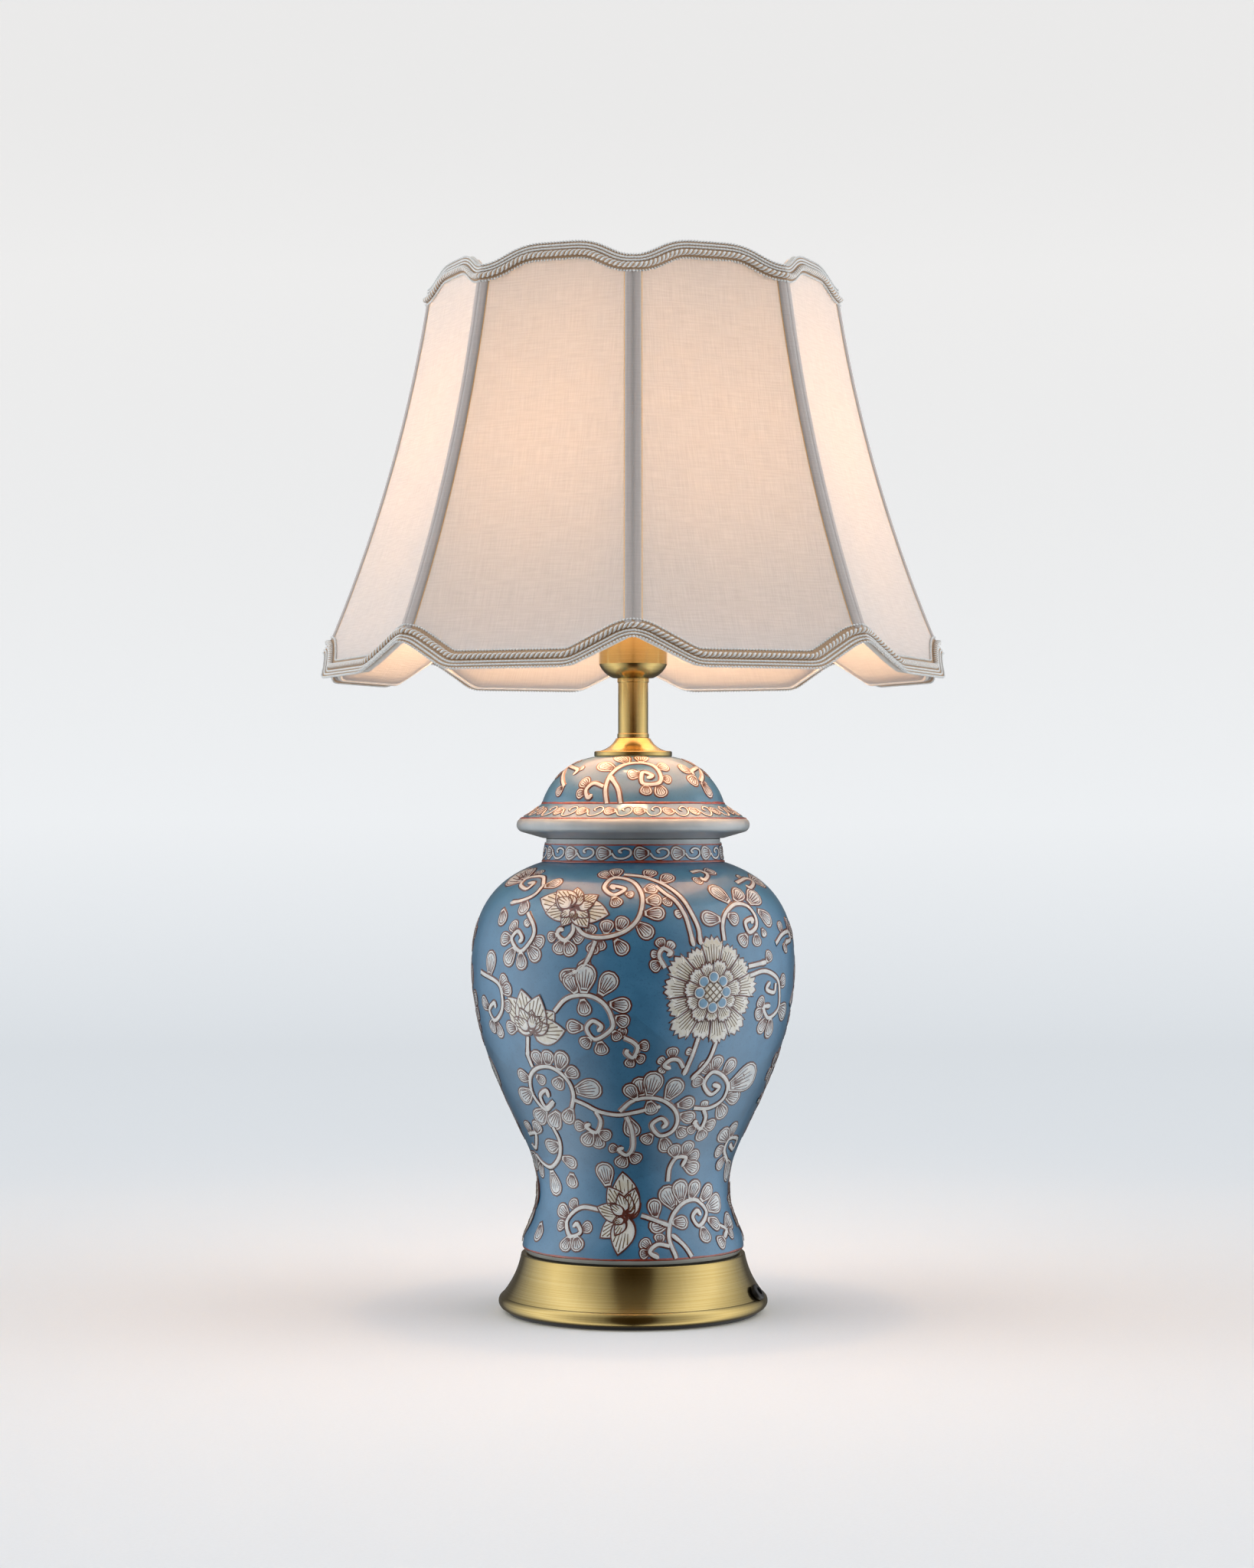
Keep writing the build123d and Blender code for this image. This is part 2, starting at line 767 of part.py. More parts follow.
with BuildPart() as screw_shell:
    with BuildSketch(Plane.XY.offset(dome_top)):
        Circle(shell_bore + shell_wall)
        Circle(shell_bore, mode=Mode.SUBTRACT)
    extrude(amount=shell_height)

with BuildPart() as centre_contact:
    with BuildSketch(Plane.XZ):
        with BuildLine():
            FilletPolyline(
                (-contact_length / 2, dome_top + contact_thickness / 2),
                (-contact_length / 4, dome_top + contact_thickness / 2),
                (0, dome_top + contact_rise + contact_thickness / 2),
                (contact_length / 2, dome_top + contact_rise + contact_thickness / 2),
                radius=contact_thickness,
            )
        trace(line_width=contact_thickness)
    extrude(amount=contact_width / 2, both=True)
    split(bisect_by=Plane.XY.offset(dome_top), keep=Keep.TOP)

skirt_top = dome_top + skirt_height

with BuildPart() as holder_skirt:
    with BuildSketch(Plane.XZ):
        with BuildLine():
            Polyline(
                (skirt_radius - skirt_wall, dome_top),
                (skirt_radius, dome_top),
                (skirt_radius, skirt_top),
                (skirt_radius - skirt_wall - skirt_lip, skirt_top),
                (skirt_radius - skirt_wall - skirt_lip, skirt_top - skirt_lip_height),
                (skirt_radius - skirt_wall, skirt_top - skirt_lip_height),
                close=True,
            )
        make_face()
    revolve(axis=Axis.Z)

# Lead: from inside the gland, along the floor of the base and up the rod
lead_out = Vector(gland_slope.Y, -gland_slope.X)
lead_start = gland_point + lead_out * (gland_flange_thickness / 2)
lead_turn = gland_point - lead_out * ((gland_point.Y - lead_run_height) / lead_out.Y)

with BuildPart() as inner_lead:
    with BuildLine(radial_plane(gland_azimuth)) as lead_path:
        FilletPolyline(
            (lead_start.X, lead_start.Y),
            (lead_turn.X, lead_turn.Y),
            (0, lead_run_height),
            (0, lead_top),
            radius=[lead_gland_bend, min(lead_bend, rod_bottom - lead_run_height)],
        )
    with BuildSketch(Plane(lead_path.line @ 0, z_dir=lead_path.line % 0)):
        Circle(lead_radius)
    sweep()

with BuildPart() as lead_cores:
    for side in (-1, 1):
        with BuildLine(Plane.XZ) as core_path:
            FilletPolyline(
                (side * core_spacing / 2, lead_top),
                (side * core_spacing / 2, lead_top + 2 * core_bend),
                (side * terminal_spacing / 2, insert_bottom - 2 * core_bend),
                (side * terminal_spacing / 2, insert_bottom + core_radius),
                radius=core_bend,
            )
        with BuildSketch(Plane(core_path.line @ 0, z_dir=core_path.line % 0)):
            Circle(core_radius)
        sweep()

# Fitter ring, its arms and the ring nut that clamps it
fitter_bore = skirt_radius + fitter_clearance

with BuildPart() as fitter_ring:
    with BuildSketch(Plane.XY.offset(fitter_bottom)):
        Circle(fitter_radius)
        Circle(fitter_bore, mode=Mode.SUBTRACT)
    extrude(amount=fitter_thickness)

ring_bottom = fitter_top + fitter_gap
ring_bore = skirt_radius + ring_clearance

with BuildPart() as shade_ring:
    with BuildSketch(Plane.XZ):
        with BuildLine():
            Polyline(
                (ring_bore, ring_bottom),
                (ring_flange_radius, ring_bottom),
                (ring_flange_radius, ring_bottom + ring_flange_thickness),
                (ring_radius, ring_bottom + ring_flange_thickness),
                (ring_radius, ring_bottom + ring_height),
                (ring_bore, ring_bottom + ring_height),
                close=True,
            )
        make_face()
    revolve(axis=Axis.Z)

top_wire_apothem = apothem(arm_tail_height) - cloth_thickness - top_wire_clearance - wire_radius
arm_end = top_wire_apothem - wire_radius - wire_clearance

with BuildPart() as fitter_arms:
    for azimuth in arm_azimuths:
        with BuildLine(radial_plane(azimuth)) as arm_path:
            FilletPolyline(
                (arm_foot_radius, fitter_top),
                (arm_foot_radius, fitter_top + arm_foot_rise),
                (arm_end - arm_tail, arm_tail_height),
                (arm_end, arm_tail_height),
                radius=[arm_bend, arm_tail_bend],
            )
        with BuildSketch(Plane(arm_path.line @ 0, z_dir=arm_path.line % 0)):
            Circle(arm_wire_radius)
        sweep()

# Bulb: a globe on a neck, in a screw cap with an insulated tip
bulb_centre = bulb_tip_bottom + bulb_centre_height
glass_foot = bulb_tip_bottom + bulb_glass_foot_height
glass_foot_radius = bulb_cap_radius - bulb_cap_wall - insert_clearance
glass_lip = bulb_tip_bottom + bulb_neck_height

with BuildPart() as bulb_glass:
    with BuildSketch(Plane.XZ):
        for inset, cut in ((0, Mode.ADD), (bulb_glass_wall, Mode.SUBTRACT)):
            with BuildLine():
                globe = CenterArc(
                    (0, bulb_centre), bulb_radius - inset, -bulb_meet_angle, 90 + bulb_meet_angle
                )
                throat = ThreePointArc(
                    (bulb_neck_radius - inset, glass_lip),
                    (bulb_throat_radius - inset, bulb_tip_bottom + bulb_throat_height),
                    globe @ 0,
                )
                Polyline(
                    globe @ 1,
                    (0, glass_foot + inset),
                    (glass_foot_radius - inset, glass_foot + inset),
                    (glass_foot_radius - inset, glass_lip),
                    throat @ 0,
                )
            make_face(mode=cut)
    revolve(axis=Axis.Z)

with BuildPart() as bulb_tip:
    with BuildSketch(Plane.XY.offset(bulb_tip_bottom)):
        Circle(bulb_tip_radius)
    extrude(amount=bulb_tip_height)
    fillet(bulb_tip.edges().group_by(Axis.Z)[0], bulb_tip_height / 2)

insulator_bottom = bulb_tip_bottom + bulb_tip_height
insulator_top = bulb_tip_bottom + bulb_insulator_height

with BuildPart() as bulb_insulator:
    with BuildSketch(Plane.XZ):
        with BuildLine():
            Polyline(
                (0, insulator_bottom),
                (bulb_tip_radius, insulator_bottom),
                (bulb_insulator_radius, insulator_top),
                (0, insulator_top),
                close=True,
            )
        make_face()
    revolve(axis=Axis.Z)

with BuildPart() as bulb_cap:
    with BuildSketch(Plane.XZ):
        with BuildLine():
            Polyline(
                (0, insulator_top),
                (bulb_insulator_radius, insulator_top),
                (bulb_cap_radius, insulator_top + bulb_cap_radius - bulb_insulator_radius),
                (bulb_cap_radius, bulb_tip_bottom + bulb_cap_height),
                (bulb_cap_radius - bulb_cap_wall, bulb_tip_bottom + bulb_cap_height),
                (bulb_cap_radius - bulb_cap_wall, glass_foot - bulb_cap_wall),
                (0, glass_foot - bulb_cap_wall),
                close=True,
            )
        make_face()
    revolve(axis=Axis.Z)


# Shade: wires, cloth, tapes and braids
def ring_wire(corners, clearance):
    """Wavy wire ring inside the cloth, through two corners on each side and one at each rib."""
    (flat, flat_height), (_, rib_height) = corners
    inset = cloth_thickness + clearance + wire_radius
    side_reach = apothem(flat_height) - inset
    rib_reach = corner_point(rib_height, inset)[0]
    points = []
    for rib, side in zip(rib_azimuths, panel_azimuths):
        across = up.cross(outward(side))
        points.append(outward(rib) * rib_reach + up * rib_height)
        points.append(outward(side) * side_reach - across * flat + up * flat_height)
        points.append(outward(side) * side_reach + across * flat + up * flat_height)
    radii = [ring_wire_rib_bend, ring_wire_flat_bend, ring_wire_flat_bend] * panel_count
    with BuildPart() as wire:
        with BuildLine() as path:
            FilletPolyline(*points, radius=radii, close=True)
        with BuildSketch(Plane(path.line @ 0, z_dir=path.line % 0)):
            Circle(wire_radius)
        sweep()
    return wire.part


def bend_step(slope):
    """Height by which a ring wire's bend at a rib stays clear of its sharp corner."""
    rise = slope / sqrt(1 + slope ** 2)
    inward = sin(radians(half_angle)) / sqrt(1 + slope ** 2)
    lean = sqrt(rise ** 2 + inward ** 2)
    return ring_wire_rib_bend * (1 / sqrt(1 - lean ** 2) - 1) * rise / lean


def rib_wire(azimuth):
    """Upright wire in the corner between two panels, between the two ring wires."""
    inset = cloth_thickness + wire_clearance + wire_radius
    end_gap = ring_wire_inset + wire_radius + wire_clearance
    high = upper_valley - end_gap + bend_step(upper_slope)
    low = lower_peak + end_gap - bend_step(lower_slope)
    middle = (high + bell_break) / 2
    with BuildPart() as wire:
        with BuildLine(radial_plane(azimuth)) as path:
            side = ThreePointArc(*[corner_point(height, inset) for height in (high, middle, bell_break)])
            TangentArc(side @ 1, corner_point(low, inset), tangent=side % 1)
        with BuildSketch(Plane(path.line @ 0, z_dir=path.line % 0)):
            Circle(wire_radius)
        sweep()
    return wire.part


def cloth_panel(azimuth, inner_inset, outer_inset, lower_inset, upper_inset):
    """One side of a layer of cloth, cut to the wavy outline and mitred at both ribs."""
    with BuildPart() as panel:
        extrude(side_band(azimuth, inner_inset, outer_inset), amount=panel_reach, both=True)
        extrude(
            outline(azimuth, lower_inset, upper_inset), amount=2 * panel_reach, mode=Mode.INTERSECT
        )
        extrude(wedge(azimuth), amount=shade_height + 2 * cut_margin, mode=Mode.INTERSECT)
    return panel.part


def rib_tape(azimuth):
    """Folded tape over a rib, between the two braids."""
    side = azimuth + half_angle
    with BuildPart() as tape:
        extrude(side_band(side, -layer_gap, -layer_gap - tape_thickness), amount=panel_reach, both=True)
        extrude(outline(side, braid_width, braid_width), amount=2 * panel_reach, mode=Mode.INTERSECT)
        with BuildSketch(facing_plane(azimuth)):
            with Locations((tape_half_width / 2, (shade_top + shade_bottom) / 2)):
                Rectangle(tape_half_width, shade_height)
        extrude(amount=2 * panel_reach, mode=Mode.INTERSECT)
        mirror(about=radial_plane(azimuth))
    return tape.part


def braid_strip(azimuth, keep):
    """One side's length of a trim: the layer between the wavy outline and the same moved in."""
    with BuildPart() as strip:
        extrude(side_band(azimuth, -layer_gap, -layer_gap - braid_thickness), amount=panel_reach, both=True)
        extrude(outline(azimuth, 0, 0), amount=2 * panel_reach, mode=Mode.INTERSECT)
        extrude(outline(azimuth, braid_width, braid_width), amount=2 * panel_reach, mode=Mode.SUBTRACT)
        extrude(wedge(azimuth), amount=shade_height + 2 * cut_margin, mode=Mode.INTERSECT)
        split(bisect_by=Plane.XY.offset((shade_bottom + shade_top) / 2), keep=keep)
    return strip.part


top_wire = ring_wire(upper_corners(ring_wire_inset), top_wire_clearance)
bottom_wire = ring_wire(lower_corners(ring_wire_inset), bottom_wire_clearance)

with BuildPart() as top_braid:
    for azimuth in panel_azimuths:
        add(braid_strip(azimuth, Keep.TOP))

with BuildPart() as bottom_braid:
    for azimuth in panel_azimuths:
        add(braid_strip(azimuth, Keep.BOTTOM))

with BuildPart() as shade_lining:
    lining_inner = lining_depth + lining_thickness
    for azimuth in panel_azimuths:
        add(cloth_panel(azimuth, lining_inner, lining_depth, lining_bottom_inset, lining_top_inset))

pieces = {
    "foot_pad": foot_pad.part,
    "base_shell": base_shell.part,
    "cord_gland": cord_gland.part,
    "gland_nut": gland_nut.part,
    "rod_washer_lower": rod_washer_lower.part,
    "rod_nut_lower": rod_nut_lower,
    "rod_nut_upper": rod_nut_upper,
    "threaded_rod": threaded_rod.part,
    "jar_gasket": jar_gasket.part,
    "jar": jar.part,
    "lid_gasket": lid_gasket.part,
    "lid": lid.part,
    "vase_cap": vase_cap.part,
    "neck_tube": neck_tube.part,
    "socket_cup": socket_cup.part,
    "holder_dome": holder_dome.part,
    "holder_insert": holder_insert.part,
    "terminal_screws": terminal_screws.part,
    "screw_shell": screw_shell.part,
    "centre_contact": centre_contact.part,
    "holder_skirt": holder_skirt.part,
    "inner_lead": inner_lead.part,
    "lead_cores": lead_cores.part,
    "fitter_ring": fitter_ring.part,
    "fitter_arms": fitter_arms.part,
    "shade_ring": shade_ring.part,
    "bulb_glass": bulb_glass.part,
    "bulb_tip": bulb_tip.part,
    "bulb_insulator": bulb_insulator.part,
    "bulb_cap": bulb_cap.part,
    "top_wire": top_wire,
    "bottom_wire": bottom_wire,
    "top_braid": top_braid.part,
    "bottom_braid": bottom_braid.part,
    "shade_lining": shade_lining.part,
}
for number, azimuth in enumerate(rib_azimuths, start=1):
    pieces[f"rib_wire_{number}"] = rib_wire(azimuth)
    pieces[f"rib_tape_{number}"] = rib_tape(azimuth)
for number, azimuth in enumerate(panel_azimuths, start=1):
    pieces[f"shade_panel_{number}"] = cloth_panel(azimuth, cloth_thickness, 0, 0, 0)

for name, part in pieces.items():
    write(part, name)
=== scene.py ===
from bisect import bisect_right
from math import atan2, cos, degrees, floor, hypot, pi, radians, sin, sqrt, tan

import bpy
from mathutils import Matrix, Vector
from mathutils.bvhtree import BVHTree


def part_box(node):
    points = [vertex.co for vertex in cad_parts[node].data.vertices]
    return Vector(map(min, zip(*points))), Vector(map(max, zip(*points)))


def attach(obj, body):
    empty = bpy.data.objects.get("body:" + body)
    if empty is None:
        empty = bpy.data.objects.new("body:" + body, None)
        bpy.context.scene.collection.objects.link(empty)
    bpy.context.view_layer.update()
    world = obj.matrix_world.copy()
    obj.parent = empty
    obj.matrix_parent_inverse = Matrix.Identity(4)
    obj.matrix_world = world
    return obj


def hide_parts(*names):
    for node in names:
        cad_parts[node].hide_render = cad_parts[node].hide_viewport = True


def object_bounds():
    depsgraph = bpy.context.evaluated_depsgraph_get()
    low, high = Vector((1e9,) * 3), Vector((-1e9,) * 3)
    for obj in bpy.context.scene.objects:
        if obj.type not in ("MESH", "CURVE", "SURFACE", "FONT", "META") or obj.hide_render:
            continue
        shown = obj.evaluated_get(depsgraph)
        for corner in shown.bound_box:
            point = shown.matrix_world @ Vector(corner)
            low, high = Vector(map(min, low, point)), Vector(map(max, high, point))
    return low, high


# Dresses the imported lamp: cloth shade with braids, painted jar, satin brass, studio and camera.
# Shapes are in millimetres in the CAD frame: +Z up, the front is -Y, and an azimuth is in degrees
# from the front towards +X. Meshes are written in metres.

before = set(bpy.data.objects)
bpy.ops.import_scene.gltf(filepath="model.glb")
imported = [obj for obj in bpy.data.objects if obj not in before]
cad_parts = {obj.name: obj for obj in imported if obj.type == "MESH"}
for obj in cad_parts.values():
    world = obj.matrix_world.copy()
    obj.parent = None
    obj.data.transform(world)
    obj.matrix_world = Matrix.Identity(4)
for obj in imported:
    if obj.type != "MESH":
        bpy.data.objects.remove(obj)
cad_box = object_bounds()

MM = 0.001
UP = Vector((0, 0, 1))

# Photograph and camera
PHOTO_WIDTH = 1638
PHOTO_HEIGHT = 2048
AXIS_COLUMN = 827
HORIZON_ROW = 1060
FOCAL_PIXELS = 4150
SENSOR = 36.0
CAMERA_DISTANCE = 2010.0
CAMERA_HEIGHT = 315.3

# Shade edges, as in the part's source
PANEL_COUNT = 8
HALF_ANGLE = 180 / PANEL_COUNT
LOWER_FLAT = 80.0
LOWER_PEAK_RISE = 17.5
LOWER_PEAK_FLAT = 3.5
LOWER_FLAT_FILLET = 15.0
LOWER_PEAK_FILLET = 13.0
UPPER_FLAT = 44.0
UPPER_VALLEY_DROP = 12.0
UPPER_VALLEY_FLAT = 3.0
UPPER_FLAT_FILLET = 18.0
UPPER_VALLEY_FILLET = 8.0

# How the shade's edges and profile are worked out
EDGE_TRIALS = 8                 # trials that settle where an edge meets a line up the panel
FEWEST_ARC_STEPS = 4
OUTSIDE_SHADE = 400.0           # where the rays start that measure the shade's profile
PROFILE_STEPS = 130
PROFILE_MARGIN = 0.05           # first and last measured height inside the shade's ends

# Shade cloth
CLOTH_COLUMNS = 40
CLOTH_ROWS = 48
CLOTH_INSET = 2.0               # cloth's edges inside the braid's free edge
CLOTH_SHIFT = 10                # between the weaves of neighbouring pieces, for each degree
TAPE_HALF_WIDTH = 5.3
TAPE_LIFT = 0.9
TAPE_FOLD_ROUND = 1.1
TAPE_FOLD_SHARE = 0.3           # share of the half-width that the rounded fold takes
TAPE_END = 8.5                  # tape's ends inside the shade's edges, under the braids
TAPE_STATIONS = (-1.12, -1, -0.985, -0.7, -0.4, -0.18, 0, 0.18, 0.4, 0.7, 0.985, 1, 1.12)
# Lift of the strips of painted seam light beside each tape
SEAM_LIFT = 0.1
TAPE_ROWS = 60
LINING_DEPTH = 6.6
LINING_HEM = 0.5
LINING_TURN = 0.15              # share of the way back from the cloth at which the hem ends

# Braid rows, with places across it from its free edge
BRAID_STEP = 0.6
LOWER_SMOOTHING = 10            # steps to each side over which an edge's corners are eased
UPPER_SMOOTHING = 18
BRAID_GROUND_LIFT = 0.55
ROPE_PLACE = 7.7
ROPE_LIFT = 1.75
ROPE_STRANDS = ((0.86, 0), (0.62, 1), (0.86, 0), (0.62, 1))     # radius and yarn of each
ROPE_PITCH = 6.2
ROPE_HELIX_RADIUS = 1.0
CHAIN_PLACES = (2.6, 4.5)
CHAIN_RADIUS = 0.72
CHAIN_NARROW = 0.62             # share of the radius that is left between two stitches
CHAIN_GAP = 0.25                # between the chain and the cloth
CHAIN_PITCH = 2.0
STITCH_STEPS = 4
PICOT_PLACES = (0.7, 11.3)
PICOT_RADIUS = 0.78
PICOT_STRETCH = 1.15
PICOT_GAP = 0.1
PICOT_PITCH = 2.0

# Painted lines on the jar and lid, as heights
FOOT_LINE = 41.2
COLLAR_LOW_LINE = 284.4
COLLAR_HIGH_LINE = 295.0
BRIM_LINE = 311.2
DOME_LINE = 320.6
LINE_HALF_WIDTH = 0.8

# Studio: brightness of the light by direction, and sizes in metres
SKY_STRENGTH = 2.0
SKY_ROUND = [                   # from the camera's side, 0, to the far side, 1
    (0.0, (0.024, 0.016, 0.006)),
    (0.10, (0.04, 0.03, 0.02)),
    (0.14, (0.18, 0.18, 0.18)),
    (0.27, (0.48, 0.48, 0.48)),
    (0.41, (0.88, 0.89, 0.90)),
    (0.49, (0.98, 0.99, 1.0)),
    (0.70, (0.36, 0.37, 0.38)),
    (0.83, (0.06, 0.06, 0.06)),
    (1.0, (0.06, 0.055, 0.05)),
]
SKY_TOP = (0.07, 0.07, 0.07)
PAPER_LOW = (0.83, 0.87, 0.91)  # tone of the paper sweep on the floor and high up
PAPER_HIGH = (0.84, 0.84, 0.84)
PAPER_RISE = 1.3
PAPER_GLOW = 0.36               # faint light of the backdrop itself, by share of the rise
PAPER_GLOW_STOPS = [(0.0, (0, 0, 0)), (0.23, (0.52, 0.51, 0.50)), (1.0, (1, 1, 1))]
GLOW_DIAMETER = 0.28
GLOW_POWER = 0.5
GLOW_COLOUR = (1.0, 0.47, 0.27)
GLOW_HEIGHT = 0.44


# Small helpers

def outward(azimuth):
    """Horizontal direction away from the axis."""
    return Vector((sin(radians(azimuth)), -cos(radians(azimuth)), 0))


def across(azimuth):
    """Horizontal direction along a side that faces an azimuth, to its right."""
    return Vector((cos(radians(azimuth)), sin(radians(azimuth)), 0))


def interpolate(xs, ys, x):
    """Value at x of the line through points with rising xs."""
    if x <= xs[0]:
        return ys[0]
    if x >= xs[-1]:
        return ys[-1]
    index = bisect_right(xs, x)
    share = (x - xs[index - 1]) / (xs[index] - xs[index - 1])
    return ys[index - 1] + share * (ys[index] - ys[index - 1])


def tree_of(node):
    """Search tree of a CAD node's mesh, in millimetres."""
    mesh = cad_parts[node].data
    points = [vertex.co / MM for vertex in mesh.vertices]
    return BVHTree.FromPolygons(points, [tuple(face.vertices) for face in mesh.polygons])


def reach_at(tree, facing, start, height):
    """Distance from the axis to a node's outside at a height, by a ray that starts outside it."""
    hit = tree.ray_cast(facing * start + UP * height, -facing)[0]
    return hit.dot(facing)


def round_angles(count):
    """Angles of equal steps round a circle."""
    return [2 * pi * step / count for step in range(count)]


def span_of(node):
    """Lowest and highest height of a CAD node, in millimetres."""
    low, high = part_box(node)
    return low.z / MM, high.z / MM


class Mesh:
    """Collects points and faces of one piece, with a material for each face."""

    def __init__(self):
        self.points = []
        self.faces = []
        self.face_materials = []
        self.places = []

    def add(self, points, faces, material=0, places=None):
        start = len(self.points)
        self.points.extend(points)
        self.places.extend(places or [(0, 0)] * len(points))
        for face in faces:
            self.faces.append([start + index for index in face])
        if isinstance(material, int):
            material = [material] * len(faces)
        self.face_materials.extend(material)

    def grid(self, rows, material=0, places=None, closed=False):
        """Adds rows of points as a sheet of quads. A material may be given for each column."""
        width = len(rows[0])
        columns = width if closed else width - 1
        faces = []
        materials = []
        for row in range(len(rows) - 1):
            for column in range(columns):
                beside = (column + 1) % width
                low = row * width
                high = low + width
                faces.append((low + column, low + beside, high + beside, high + column))
                materials.append(material if isinstance(material, int) else material[column])
        flat_places = [place for row in places for place in row] if places else None
        self.add([point for row in rows for point in row], faces, materials, flat_places)

    def finish(self, name, body, materials, slot):
        """Makes the object, which rides on a body. The slot argument is not used."""
        mesh = bpy.data.meshes.new(name)
        mesh.from_pydata([point * MM for point in self.points], [], self.faces)
        for material in materials:
            mesh.materials.append(material)
        mesh.polygons.foreach_set("material_index", self.face_materials)
        mesh.polygons.foreach_set("use_smooth", [True] * len(self.faces))
        layer = mesh.uv_layers.new(name="cloth")
        for loop in mesh.loops:
            u, v = self.places[loop.vertex_index]
            layer.data[loop.index].uv = (u * MM, v * MM)
        mesh.update()
        piece = bpy.data.objects.new(name, mesh)
        bpy.context.scene.collection.objects.link(piece)
        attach(piece, body)
        return piece


# Shader helpers

# Sockets of a mix node, which has several of each name
MIX_FACTOR = 0
MIX_FIRST_VALUE = 2
MIX_SECOND_VALUE = 3
MIX_FIRST_COLOUR = 6
MIX_SECOND_COLOUR = 7
MIX_VALUE_RESULT = 0
MIX_COLOUR_RESULT = 2


def new_material(name):
    material = bpy.data.materials.new(name)
    material.use_nodes = True
    return material, material.node_tree


def set_inputs(tree, node, values):
    """Links or sets inputs of a node. A colour that is given as three numbers is opaque."""
    for name, value in values.items():
        socket = node.inputs[name]
        if isinstance(value, bpy.types.NodeSocket):
            tree.links.new(value, socket)
        elif socket.type == "RGBA":
            socket.default_value = (*value, 1)
        else:
            socket.default_value = value


def shader_node(tree, kind, values=None, **settings):
    """Adds a node, sets its properties, and sets or links its inputs."""
    node = tree.nodes.new("ShaderNode" + kind)
    for name, value in settings.items():
        setattr(node, name, value)
    set_inputs(tree, node, values or {})
    return node


def calculate(tree, operation, *values):
    """Result of a math node for one or two values."""
    return shader_node(tree, "Math", dict(enumerate(values)), operation=operation).outputs[0]


def grey(level):
    return (level, level, level)


def ramp(tree, factor, stops, interpolation="LINEAR"):
    """Colour ramp through (place, colour) stops."""
    node = shader_node(tree, "ValToRGB", {"Fac": factor})
    band = node.color_ramp
    band.interpolation = interpolation
    while len(band.elements) < len(stops):
        band.elements.new(1.0)
    for element, (place, colour) in zip(band.elements, stops):
        element.position = place
        element.color = (*colour, 1)
    return node.outputs["Color"]


def mix_colour(tree, factor, first, second, blend="MIX"):
    values = {MIX_FACTOR: factor, MIX_FIRST_COLOUR: first, MIX_SECOND_COLOUR: second}
    node = shader_node(tree, "Mix", values, data_type="RGBA", blend_type=blend)
    return node.outputs[MIX_COLOUR_RESULT]


def noise(tree, vector, scale, detail, roughness=0.5):
    values = {"Vector": vector, "Scale": scale, "Detail": detail, "Roughness": roughness}
    return shader_node(tree, "TexNoise", values).outputs["Fac"]


def stretched(tree, vector, scale):
    """Coordinates scaled by a factor for each axis."""
    return shader_node(tree, "Mapping", {"Vector": vector, "Scale": scale}).outputs["Vector"]


def bump(tree, height, distance, strength):
    values = {"Height": height, "Distance": distance, "Strength": strength}
    return shader_node(tree, "Bump", values).outputs["Normal"]


def object_place(tree):
    return shader_node(tree, "TexCoord").outputs["Object"]


def height_of(tree, place):
    return shader_node(tree, "SeparateXYZ", {"Vector": place}).outputs["Z"]


def principled(tree):
    return tree.nodes["Principled BSDF"]


# Materials

# Scale of the noise that makes threads, fibres and brushed rings, along each axis
WARP_SCALE = (1300, 60, 1)
WEFT_SCALE = (70, 1100, 1)
FIBRE_SCALE = (900, 900, 1800)
BRUSHED_SCALE = (3, 3, 2600)


def woven(tree):
    """Weave of the cloth as a value around 0.5: fine threads both ways, with slubs."""
    cloth = shader_node(tree, "UVMap", uv_map="cloth").outputs["UV"]
    warp = noise(tree, stretched(tree, cloth, WARP_SCALE), scale=1.0, detail=2.0)
    weft = noise(tree, stretched(tree, cloth, WEFT_SCALE), scale=1.0, detail=2.0)
    values = {MIX_FACTOR: 0.5, MIX_FIRST_VALUE: warp, MIX_SECOND_VALUE: weft}
    return shader_node(tree, "Mix", values).outputs[MIX_VALUE_RESULT]


def cloth_material(name, face, light, pass_share, weave_depth):
    """Cloth that shows its face colour in front light and a warm colour in light from behind."""
    material, tree = new_material(name)
    tree.nodes.remove(principled(tree))
    weave = woven(tree)
    tone = ramp(tree, weave, [(0.3, grey(1 - weave_depth)), (0.7, grey(1))])
    normal = bump(tree, weave, distance=0.0006, strength=0.5)
    front = mix_colour(tree, 1.0, tone, face, "MULTIPLY")
    behind = mix_colour(tree, 1.0, tone, light, "MULTIPLY")
    diffuse = shader_node(tree, "BsdfDiffuse", {"Color": front, "Normal": normal})
    glow = shader_node(tree, "BsdfTranslucent", {"Color": behind, "Normal": normal})
    both = shader_node(tree, "MixShader", {0: pass_share, 1: diffuse.outputs[0], 2: glow.outputs[0]})
    tree.links.new(both.outputs[0], tree.nodes["Material Output"].inputs["Surface"])
    return material


def yarn_material(name, colour, shade):
    """Smooth twisted yarn with fine lengthwise fibres and a soft sheen."""
    material, tree = new_material(name)
    fibres = noise(tree, stretched(tree, object_place(tree), FIBRE_SCALE), scale=1.0, detail=2.0)
    set_inputs(tree, principled(tree), {
        "Base Color": ramp(tree, fibres, [(0.25, shade), (0.7, colour)]),
        "Roughness": 0.55,
        "Sheen Weight": 0.3,
        "Normal": bump(tree, fibres, distance=0.0002, strength=0.5),
    })
    return material


